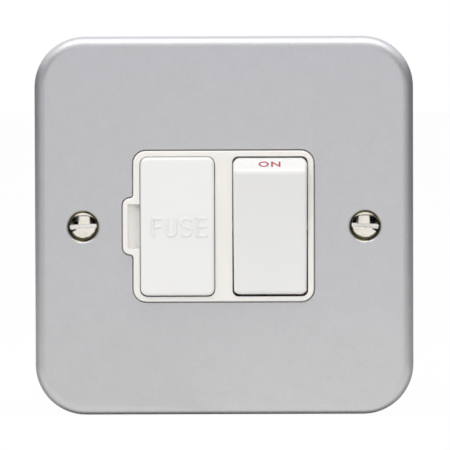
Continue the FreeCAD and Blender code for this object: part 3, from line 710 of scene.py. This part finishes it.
def swept(path: Array, width: float, height: float, sides: int,
          closed: bool = False) -> Grid:
    """Carries an elliptical section along a flat path.

    The path lies in the plane of its first two coordinates. At each point the section
    spans the path's sideways direction by its width and the third direction by its height.
    The sections of an open path shrink to a point over the first and last steps like the
    ends of an ellipse, so that the ends are round and closed.

    Args:
        path: Points with two columns.
        width: Full width of the section.
        height: Half height of the section.
        sides: Points round the section.
        closed: Whether the path is a loop.

    Returns:
        Points with three columns, and faces.
    """
    if closed:
        run = np.roll(path, -1, axis=0) - np.roll(path, 1, axis=0)
        centre, shrink = path, np.ones(len(path))
    else:
        turns = np.linspace(0.0, math.pi / 2, END_STEPS, endpoint=False)
        first = (path[1] - path[0]) / np.linalg.norm(path[1] - path[0])
        last = (path[-1] - path[-2]) / np.linalg.norm(path[-1] - path[-2])
        lead = path[0] - first * (width / 2 * np.cos(turns))[:, None]
        tail = path[-1] + last * (width / 2 * np.cos(turns[::-1]))[:, None]
        centre = np.concatenate([lead, path, tail])
        shrink = np.concatenate([np.sin(turns), np.ones(len(path)), np.sin(turns[::-1])])
        run = np.gradient(centre, axis=0)
    along = run / np.linalg.norm(run, axis=1)[:, None]
    across = np.stack([-along[:, 1], along[:, 0]], axis=1)
    angle = np.linspace(0.0, 2 * math.pi, sides, endpoint=False)
    reach = shrink[:, None] * width / 2 * np.cos(angle)[None, :]
    flat = centre[:, None, :] + across[:, None, :] * reach[:, :, None]
    raised = shrink[:, None] * height * np.sin(angle)[None, :]
    points = np.concatenate([flat, raised[:, :, None]], axis=2).reshape(-1, 3)
    return points, grid_faces(len(centre), sides, closed)


def turned_profile(profile: Array, sides: int) -> Grid:
    """Turns a profile round the Y axis.

    X is the radius times the cosine of the turn angle, and Z the radius times its sine.

    Args:
        profile: Points with a radius and a place along Y; a radius of nought closes an end.
        sides: Points round the axis.

    Returns:
        Points and faces.
    """
    angle = np.linspace(0.0, 2 * math.pi, sides, endpoint=False)
    radius, place = profile[:, 0][:, None], profile[:, 1][:, None]
    points = np.stack([radius * np.cos(angle), np.broadcast_to(place, (len(profile), sides)),
                       radius * np.sin(angle)], axis=2).reshape(-1, 3)
    return points, grid_faces(len(profile), sides)


def finish_mesh(piece: Object) -> None:
    """Merges a piece's doubled points and turns its faces outwards.

    Args:
        piece: The piece, changed in place.
    """
    shape = bmesh.new()
    shape.from_mesh(piece.data)
    bmesh.ops.remove_doubles(shape, verts=shape.verts, dist=MERGE_DISTANCE)
    bmesh.ops.recalc_face_normals(shape, faces=shape.faces)
    shape.to_mesh(piece.data)
    shape.free()


def smooth_node(node: Object, sharp_degrees: float = 32.0) -> None:
    """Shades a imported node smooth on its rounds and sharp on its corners, by modifiers alone.

    Args:
        node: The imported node.
        sharp_degrees: Edges that turn more than this stay sharp.
    """
    node.data.polygons.foreach_set("use_smooth", np.ones(len(node.data.polygons), bool))
    weld = node.modifiers.new("weld", "WELD")
    weld.merge_threshold = WELD_DISTANCE
    split = node.modifiers.new("split", "EDGE_SPLIT")
    split.use_edge_sharp = False
    split.split_angle = math.radians(sharp_degrees)
    weighted = node.modifiers.new("weighted", "WEIGHTED_NORMAL")
    weighted.mode = "FACE_AREA"
    weighted.weight = FACE_WEIGHT


def dress(node: Object, material: Material) -> None:
    """Gives an object one material in place of what it has."""
    node.data.materials.clear()
    node.data.materials.append(material)


# Sub-assemblies


@dataclass
class SubAssembly:
    """What the sub-assemblies share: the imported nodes."""

    nodes: Nodes

    def dress_nodes(self, names: list[str], material: Material) -> None:
        """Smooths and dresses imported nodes.

        Args:
            names: Names of the nodes.
            material: Their material.
        """
        for name in names:
            smooth_node(self.nodes[name])
            dress(self.nodes[name], material)
            LOG.info("dressed %s with %s", name, material.name)


@dataclass
class FixingScrew:
    """A raised countersunk slotted screw with a cut thread.

    A positive slot angle lifts the slot's right end, seen from the front, as in the solids.
    """

    side: Side
    slot_degrees: float
    rim_y: float
    head_radius: float = 3.12
    head_raise: float = 0.7
    head_sides: int = 96
    crown_steps: int = 14
    rim_radius: float = 0.3
    rim_steps: int = 10
    rim_end_degrees: float = 135.0
    neck_radius: float = 1.45
    thread_radius: float = 1.75
    thread_root: float = 1.42
    thread_start: float = -1.65
    thread_sides: int = 24
    pitch: float = 0.6
    steps_per_pitch: int = 8
    flank_gain: float = 1.6
    root_flat: float = 0.3
    tip_length: float = 0.9
    tip_share: float = 0.6
    slot_width: float = 0.88
    slot_floor_width: float = 0.66
    slot_depth: float = 0.9
    cutter_room: float = 1.0
    sharp_degrees: float = 35.0

    def head(self, plating: Material, slot_highlight: Material) -> Object:
        """The head: a ball crown on a cone, turned from one profile, with the slot cut out.

        The ball rises by the head's raise over the head's radius, so its own radius is the
        sum of their squares over twice the raise. Crown and rim are arcs at sine and minus
        cosine of the lean from the axis, and meet without a corner.

        Args:
            plating: The material outside.
            slot_highlight: The slot's lighter metal, a painted highlight.

        Returns:
            The head's object, about the Y axis.
        """
        rise, reach, round_off = self.head_raise, self.head_radius, self.rim_radius
        ball = (reach ** 2 + rise ** 2) / (2 * rise)
        lean = math.asin((reach - round_off) / ball)
        leans = np.linspace(0.0, lean, self.crown_steps)
        ball_y = self.rim_y - rise + ball
        crown = np.stack([ball * np.sin(leans), ball_y - ball * np.cos(leans)], axis=1)
        turn = np.linspace(lean, math.radians(self.rim_end_degrees), self.rim_steps)[1:]
        centre = crown[-1] - round_off * np.array([math.sin(lean), -math.cos(lean)])
        rim = centre + round_off * np.stack([np.sin(turn), -np.cos(turn)], axis=1)
        neck_y = self.rim_y + self.head_radius - self.neck_radius
        end = np.array([[self.neck_radius, neck_y], [self.neck_radius, self.thread_start],
                        [0.0, self.thread_start]])
        profile = np.concatenate([crown, rim, end])
        points, faces = turned_profile(profile * MM, self.head_sides)
        piece = mesh_piece(f"head_{self.side.name.lower()}", points, faces)
        finish_mesh(piece)
        dress(piece, plating)
        self.cut_slot(piece, slot_highlight)
        return piece

    def cut_slot(self, head: Object, slot_highlight: Material) -> None:
        """Cuts the driver slot, which narrows to its floor, into a head that stands at the origin.

        Args:
            head: The head's object; its mesh is replaced by the cut one.
            slot_highlight: The lighter metal that the slot's walls and floor take, a painted
                highlight.
        """
        reach, crown = self.head_radius + self.cutter_room, self.rim_y - self.head_raise
        slope = (self.slot_width - self.slot_floor_width) / 2 / self.slot_depth
        places = {-1: crown - self.cutter_room, 1: crown + self.slot_depth}
        halves = {-1: self.slot_width / 2 + slope * self.cutter_room, 1: self.slot_floor_width / 2}
        corners = np.array([[x * reach, places[y], z * halves[y]]
                            for x in (-1, 1) for y in (-1, 1) for z in (-1, 1)]) * MM
        sides = np.array([[0, 1, 3, 2], [4, 6, 7, 5], [0, 4, 5, 1],
                          [2, 3, 7, 6], [0, 2, 6, 4], [1, 5, 7, 3]])
        cutter = mesh_piece("slot_cutter", corners, sides, smooth=False)
        finish_mesh(cutter)
        dress(cutter, slot_highlight)
        cut = head.modifiers.new("slot", "BOOLEAN")
        cut.object = cutter
        cut.solver = "EXACT"
        cut.material_mode = "TRANSFER"
        split = head.modifiers.new("split", "EDGE_SPLIT")
        split.split_angle = math.radians(self.sharp_degrees)
        graph = bpy.context.evaluated_depsgraph_get()
        done = bpy.data.meshes.new_from_object(head.evaluated_get(graph))
        head.modifiers.clear()
        head.data = done
        bpy.data.objects.remove(cutter)

    def thread(self, end_y: float) -> Grid:
        """The threaded shank.

        Each point has a turn angle and a place along the shank. Its radius swings between
        root and crest as a triangle wave of the place in pitches less the angle's share of
        a turn, cut off flat at both. The swing fades in over the first pitch. Over the tip's
        length the radius is held under a cone, and both ends close on the axis.

        Args:
            end_y: Where the shank ends, in millimetres.

        Returns:
            Points and faces, in metres, about the Y axis.
        """
        count = int((end_y - self.thread_start) / self.pitch * self.steps_per_pitch)
        place = np.linspace(self.thread_start, end_y, count)[:, None]
        angle = np.linspace(0.0, 2 * math.pi, self.thread_sides, endpoint=False)[None, :]
        phase = np.mod(place / self.pitch - angle / (2 * math.pi), 1.0)
        peak = 1.0 - np.abs(2.0 * phase - 1.0)
        wave = np.clip(self.flank_gain * peak - self.root_flat, 0.0, 1.0)
        fade = np.clip((place - self.thread_start) / self.pitch, 0.0, 1.0)
        radius = self.thread_root + (self.thread_radius - self.thread_root) * wave * fade
        tip = self.thread_root * self.tip_share
        cone = np.clip((end_y - place) / self.tip_length, 0.0, 1.0)
        radius = np.minimum(radius, tip + (self.thread_radius - tip) * cone)
        closed = np.ones_like(place)
        closed[0] = closed[-1] = 0.0
        radius = radius * closed
        parts = np.broadcast_arrays(radius * np.cos(angle), place, radius * np.sin(angle))
        points = np.stack(parts, axis=2).reshape(-1, 3)
        return points * MM, grid_faces(count, self.thread_sides)

    def build(self, crown: Material, plating: Material, slot_highlight: Material) -> None:
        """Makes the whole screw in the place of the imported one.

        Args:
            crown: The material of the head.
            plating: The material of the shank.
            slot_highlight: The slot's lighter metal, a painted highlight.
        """
        name = f"fixing_screw_{self.side.name.lower()}"
        low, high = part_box(name)
        head = self.head(crown, slot_highlight)
        turn = Matrix.Rotation(math.radians(-self.slot_degrees), 4, "Y")
        head.data.transform(turn)
        points, faces = self.thread(high.y / MM)
        shank = mesh_piece(f"{name}_shank", points, faces)
        finish_mesh(shank)
        dress(shank, plating)
        for part in (head, shank):
            part.data.transform(Matrix.Translation(((low.x + high.x) / 2, 0.0, 0.0)))
            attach(part, "root")
        head.name = f"{name}_head"
        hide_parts(name)
        LOG.info("built %s and %s", head.name, shank.name)


@dataclass
class PlateAssembly(SubAssembly):
    """The pressed plate, its pillars and the screws through it."""

    left_slot_degrees: float = 3.0
    right_slot_degrees: float = -3.5

    def build(self) -> None:
        """Builds the two fixing screws and dresses the plate, pillars and housing screws."""
        self.dress_nodes(["faceplate"], CoatedSteel().make())
        self.dress_nodes(["plate_pillars", "housing_screws"], ZINC.make())
        head, nickel, slot_highlight = SCREW_HEAD.make(), NICKEL.make(), SLOT_HIGHLIGHT.make()
        for side, degrees in ((Side.LEFT, self.left_slot_degrees),
                              (Side.RIGHT, self.right_slot_degrees)):
            crown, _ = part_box(f"fixing_screw_{side.name.lower()}")
            rim_y = crown.y / MM + FixingScrew.head_raise
            FixingScrew(side, degrees, rim_y).build(head, nickel, slot_highlight)


def straight(start: Span, end: Span, count: int = 12) -> Array:
    """Points on a straight stroke, at start plus even shares of the way to the end.

    Args:
        start: First point.
        end: Last point.
        count: How many points.

    Returns:
        The points, one row each.
    """
    share = np.linspace(0.0, 1.0, count)[:, None]
    return np.array(start) * (1.0 - share) + np.array(end) * share


def arc(centre: Span, radii: Span, start: float, end: float, count: int = 24) -> Array:
    """Points on an elliptical stroke, at centre plus radii times cosine and sine of the angle.

    Args:
        centre: The ellipse's centre.
        radii: Its half width and half height.
        start: First angle in degrees.
        end: Last angle in degrees.
        count: How many points.

    Returns:
        The points, one row each.
    """
    angle = np.radians(np.linspace(start, end, count))
    return np.array(centre) + np.stack([radii[0] * np.cos(angle), radii[1] * np.sin(angle)], axis=1)


@dataclass
class DrawerLegend:
    """The word on the fuse drawer, moulded as low round ridges."""

    height: float = 3.7
    stroke: float = 0.76
    rise: float = 0.13
    shift: float = 0.45
    drop: float = 0.12
    letter_widths: tuple[float, float, float, float] = (1.75, 1.9, 2.2, 1.95)
    letter_gap: float = 1.2
    middle_bar: float = 0.52
    short_bars: Span = (0.88, 0.9)
    upper_bend_share: float = 0.95
    upper_bend: Span = (28.0, 270.0)
    lower_bend: Span = (90.0, -152.0)
    section_sides: int = 16

    def strokes(self) -> list[Array]:
        """The centre lines of the four letters, from the word's lower left corner.

        Returns:
            The points of each stroke, in millimetres.
        """
        h = self.height
        middle = h * self.middle_bar
        w = self.letter_widths
        x = np.cumsum([0.0] + [width + self.letter_gap for width in w[:-1]])
        f = [straight((x[0], 0), (x[0], h)), straight((x[0], h), (x[0] + w[0], h)),
             straight((x[0], middle), (x[0] + w[0] * self.short_bars[0], middle))]
        r = w[1] / 2
        u = [np.concatenate([straight((x[1], h), (x[1], r)),
                             arc((x[1] + r, r), (r, r), 180, 360)[1:-1],
                             straight((x[1] + w[1], r), (x[1] + w[1], h))])]
        s_x, s_y = w[2] / 2, h / 4
        upper = arc((x[2] + s_x, h - s_y), (s_x * self.upper_bend_share, s_y), *self.upper_bend)
        lower = arc((x[2] + s_x, s_y), (s_x, s_y), *self.lower_bend)
        s = [np.concatenate([upper, lower[1:]])]
        e = [straight((x[3], 0), (x[3], h)), straight((x[3], h), (x[3] + w[3], h)),
             straight((x[3], middle), (x[3] + w[3] * self.short_bars[1], middle)),
             straight((x[3], 0), (x[3] + w[3], 0))]
        return f + u + s + e

    def build(self, material: Material) -> None:
        """Makes the raised word on the drawer's face.

        Args:
            material: The drawer's plastic.
        """
        low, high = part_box("fuse_carrier")
        grids = [swept(line, self.stroke, self.rise, self.section_sides)
                 for line in self.strokes()]
        points, faces = joined_grids(grids)
        width = sum(self.letter_widths) + (len(self.letter_widths) - 1) * self.letter_gap
        centre_x = (low.x + high.x) / 2 / MM
        placed = np.stack([points[:, 0] - width / 2 + centre_x + self.shift,
                           low.y / MM - points[:, 2],
                           points[:, 1] - self.height / 2 - self.drop], axis=1)
        piece = mesh_piece("drawer_word", placed * MM, faces)
        finish_mesh(piece)
        dress(piece, material)
        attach(piece, "fuse_drawer")
        LOG.info("built %s", piece.name)


@dataclass
class RockerLegend:
    """The red word printed on the rocker's upper facet."""

    pivot_y: float = -2.6
    ridge_along: float = 12.62
    ridge_out: float = 5.3
    facet_degrees: float = 63.0
    tip_degrees: float = 7.0
    from_ridge: float = 2.5
    height: float = 1.56
    loop_width: float = 1.82
    bars_width: float = 1.6
    letter_gap: float = 0.86
    shift: float = -0.12
    stroke: float = 0.42
    film: float = 0.012
    loop_points: int = 48
    section_sides: int = 8

    def strokes(self) -> tuple[Array, list[Array]]:
        """The centre lines: a loop for the first letter and three strokes for the second.

        Returns:
            The points of the loop and of each stroke, in millimetres.
        """
        w, h = self.bars_width, self.height
        last = 360.0 - 360.0 / self.loop_points
        half = (self.loop_width / 2, h / 2)
        loop = arc(half, half, 0.0, last, self.loop_points)
        x = self.loop_width + self.letter_gap
        bars = [straight((x, 0), (x, h)), straight((x, h), (x + w, 0)),
                straight((x + w, 0), (x + w, h))]
        return loop, bars

    def build(self, material: Material) -> None:
        """Makes the printed word on the sloping facet.

        Args:
            material: The ink.
        """
        loop, bars = self.strokes()
        grids = [swept(loop, self.stroke, self.film, self.section_sides, closed=True)]
        grids += [swept(bar, self.stroke, self.film, self.section_sides) for bar in bars]
        points, faces = joined_grids(grids)
        slope = math.radians(self.facet_degrees)
        width = self.loop_width + self.letter_gap + self.bars_width
        up = np.array([0.0, math.sin(slope), math.cos(slope)])
        out = np.array([0.0, -math.cos(slope), math.sin(slope)])
        low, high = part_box("rocker")
        middle = (low.x + high.x) / 2 / MM
        ridge = np.array([middle, self.pivot_y - self.ridge_out, self.ridge_along])
        below = points[:, 1] - self.height / 2 + self.from_ridge
        beside = points[:, 0] - width / 2 + self.shift
        right = np.array([1.0, 0.0, 0.0])
        placed = (ridge + beside[:, None] * right + below[:, None] * up
                  + points[:, 2][:, None] * out)
        piece = mesh_piece("rocker_word", placed * MM, faces)
        finish_mesh(piece)
        centre = Vector((0.0, self.pivot_y * MM, 0.0))
        tip = Matrix.Rotation(math.radians(self.tip_degrees), 4, "X")
        piece.data.transform(Matrix.Translation(centre) @ tip @ Matrix.Translation(-centre))
        dress(piece, material)
        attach(piece, "rocker")
        LOG.info("built %s", piece.name)


@dataclass
class FuseDrawer(SubAssembly):
    """The drawer, its fuse and the clips that grip it."""

    legend: DrawerLegend = field(default_factory=DrawerLegend)

    def build(self) -> None:
        """Builds the moulded word and dresses the drawer, the fuse and the clips."""
        white = WHITE_DRAWER.make()
        self.dress_nodes(["fuse_carrier"], white)
        self.legend.build(white)
        self.dress_nodes(["fuse_tube"], Ceramic().make())
        self.dress_nodes(["fuse_cap_upper", "fuse_cap_lower"], NICKEL.make())
        self.dress_nodes(["fuse_clip_upper", "fuse_clip_lower"], TINNED.make())


@dataclass
class RockerSwitch(SubAssembly):
    """The rocker with its sprung plungers, and the contacts that they tip."""

    legend: RockerLegend = field(default_factory=RockerLegend)

    def build(self) -> None:
        """Builds the printed word and dresses the rocker and the contact set."""
        self.dress_nodes(["rocker"], WHITE_ROCKER.make())
        self.legend.build(PrintedInk().make())
        plastic, wire, copper, silver = (
            finish.make() for finish in (PLUNGER_PLASTIC, SPRING_WIRE, COPPER, SILVER))
        for pole in Pole:
            self.dress_nodes([f"plunger_{pole.value}"], plastic)
            self.dress_nodes([f"plunger_spring_{pole.value}"], wire)
            self.dress_nodes([f"moving_contact_{pole.value}", f"fixed_contact_{pole.value}",
                              f"pivot_strip_{pole.value}"], copper)
            self.dress_nodes([f"moving_tip_{pole.value}", f"fixed_tip_{pole.value}"], silver)


@dataclass
class RearBody(SubAssembly):
    """The front moulding, the rear housing, the strips and all terminals."""

    def build(self) -> None:
        """Dresses the mouldings, the strips and every terminal with its screw."""
        self.dress_nodes(["front_insert"], WHITE_FRONT.make())
        self.dress_nodes(["rear_housing"], GREY_HOUSING.make())
        self.dress_nodes(["load_strip_line", "earth_strap"], COPPER.make())
        brass, zinc = BRASS.make(), ZINC.make()
        for column in Column:
            for row in Row:
                place = f"{column.value}_{row.value}"
                self.dress_nodes([f"terminal_{place}"], brass)
                self.dress_nodes([f"terminal_screw_{place}"], zinc)


# Studio


@dataclass
class Studio:
    """Camera, floor, world, lamps and dark cards, in metres where no unit is named."""

    millimetres_per_pixel: float = 0.2137
    distance: float = 1.1
    raised_degrees: float = 2.5
    roll_degrees: float = 0.18
    sensor_millimetres: float = 36.0
    nearest: float = 0.01
    aim: Place = (0.00018, -0.0045, 0.00022)
    floor_half: float = 3.0
    floor_gap: float = 0.0002
    floor_colour: Colour = (0.92, 0.92, 0.92)
    floor_pale: Colour = (0.94, 0.94, 0.94)
    floor_patch_millimetres: float = 40.0
    floor_roughness: float = 0.8
    floor_glow: float = 0.97
    fill: float = 0.44
    card_gap: float = 0.0001
    card_front: float = -0.60
    card_patch_millimetres: float = 30.0
    card_roughness: float = 0.9
    card_pale: float = 1.1

    def camera(self) -> None:
        """Places a long lens almost square on, so that one pixel spans the plate's scale."""
        data = bpy.data.cameras.new("camera")
        data.sensor_width = self.sensor_millimetres
        seen_width = IMAGE_PIXELS * self.millimetres_per_pixel * MM
        data.lens = self.sensor_millimetres * self.distance / seen_width
        data.clip_start = self.nearest
        camera = bpy.data.objects.new("camera", data)
        bpy.context.scene.collection.objects.link(camera)
        raised = math.radians(self.raised_degrees)
        back = Vector((0.0, -math.cos(raised), math.sin(raised)))
        camera.location = Vector(self.aim) + back * self.distance
        facing = (-back).to_track_quat("-Z", "Y").to_matrix()
        roll = Matrix.Rotation(math.radians(self.roll_degrees), 3, "Z")
        camera.rotation_euler = (facing @ roll.transposed()).to_euler()
        bpy.context.scene.camera = camera

    def floor(self) -> None:
        """A wide pale floor under the plate's lower edge: white to the lens with a soft shadow."""
        low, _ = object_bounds()
        floor = flat_piece("floor", (0.0, 0.0, low.z - self.floor_gap),
                           (self.floor_half, self.floor_half, 0.0))
        shader = Shader("floor_white")
        patches = shader.noise(self.floor_patch_millimetres)
        shader.set(Base_Color=shader.mixed(patches, self.floor_colour, self.floor_pale),
                   Roughness=self.floor_roughness)
        white = shader.node("ShaderNodeEmission", {}, {"Color": WHITE, "Strength": 1.0})
        seen = seen_by(shader.tree, ["Camera", "Glossy"]) * self.floor_glow
        both = shader.node("ShaderNodeMixShader", {}, {0: seen, 1: shader.surface.outputs["BSDF"],
                                                      2: white.outputs["Emission"]})
        connect(shader.tree, shader.output.inputs["Surface"], both.outputs[0])
        dress(floor, shader.material)
        floor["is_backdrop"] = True

    def world(self) -> None:
        """White to the lens and to mirrors, and a plain soft fill for everything else."""
        world = bpy.data.worlds.new("world")
        bpy.context.scene.world = world
        world.use_nodes = True
        tree = world.node_tree
        tree.nodes.clear()
        seen = seen_by(tree, ["Camera", "Glossy", "Transmission"])
        background = add_node(tree, "ShaderNodeBackground", {},
                              {"Color": WHITE, "Strength": self.fill + seen * (1.0 - self.fill)})
        add_node(tree, "ShaderNodeOutputWorld", {}, {"Surface": background.outputs["Background"]})

    def lamp(self, name: str, place: Place, size: Span, power: float, mirrored: bool) -> None:
        """One oblong soft lamp that looks at the plate.

        Args:
            name: The lamp's name.
            place: Where it stands, in metres.
            size: Its width and height, in metres.
            power: Its power, in watts.
            mirrored: Whether it shows in reflections.
        """
        data = bpy.data.lights.new(name, "AREA")
        data.shape = "RECTANGLE"
        data.size, data.size_y = size
        data.energy = power
        lamp = bpy.data.objects.new(name, data)
        bpy.context.scene.collection.objects.link(lamp)
        lamp.location = place
        lamp.rotation_euler = (-Vector(place)).to_track_quat("-Z", "Y").to_euler()
        lamp.visible_glossy = mirrored

    def card(self, name: str, centre: Place, half: Place, shade: float) -> None:
        """A dark card that neither the lens nor soft light meets, only reflections.

        Args:
            name: The card's name.
            centre: Its centre, in metres.
            half: Its half sizes along X, Y and Z; one of them is nought.
            shade: Its grey.
        """
        card = flat_piece(name, centre, half)
        shader = Shader(name)
        grey = (shade, shade, shade)
        patches = shader.noise(self.card_patch_millimetres)
        shader.set(Base_Color=shader.mixed(patches, grey, scaled(grey, self.card_pale)),
                   Roughness=self.card_roughness, Specular_IOR_Level=0.0)
        dress(card, shader.material)
        card.visible_camera = False
        card.visible_diffuse = False
        card.visible_shadow = False
        card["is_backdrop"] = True

    def build(self) -> None:
        """Sets up the whole studio."""
        bpy.context.scene.view_settings.view_transform = "Standard"
        self.camera()
        self.floor()
        self.world()
        low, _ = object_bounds()
        front, under = self.card_front, low.z - self.card_gap
        self.lamp("key", (-0.30, -0.95, 0.80), (0.8, 0.8), power=6.3, mirrored=False)
        self.lamp("top", (0.0, -0.20, 0.9), (1.1, 0.35), power=4.4, mirrored=True)
        self.card("card_brow", (0.0, front, 0.405), (0.28, 0.0, 0.022), shade=0.03)
        self.card("card_left", (-0.24, 0.13, 0.0), (0.0, 0.23, 0.13), shade=0.02)
        self.card("card_right", (0.22, 0.13, 0.0), (0.0, 0.25, 0.13), shade=0.005)
        # painted reflection of shade: card_below stands for the floor's shadow behind the plate,
        # which the plate's lower fold reflects
        self.card("card_below", (0.0, 0.0463, under), (0.13, 0.05, 0.0), shade=0.33)
        pairs = (("front", (0.335, front, 0.24), (0.125, 0.0, 0.205), 0.002),
                 ("outer", (0.73, front, 0.33), (0.27, 0.0, 0.295), 0.002),
                 ("floor", (0.125, -0.1175, under), (0.025, 0.0525, 0.0), 0.01))
        for side in Side:
            for name, (x, y, z), half, shade in pairs:
                self.card(f"card_{name}_{side.name.lower()}", (side.value * x, y, z), half, shade)


def main() -> None:
    """Builds every sub-assembly and the studio."""
    logging.basicConfig(level=logging.INFO, format="%(message)s")
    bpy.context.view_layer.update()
    nodes = frame["nodes"]
    for part in (PlateAssembly(nodes), FuseDrawer(nodes), RockerSwitch(nodes), RearBody(nodes)):
        part.build()
    Studio().build()


if __name__ == "__main__":
    main()
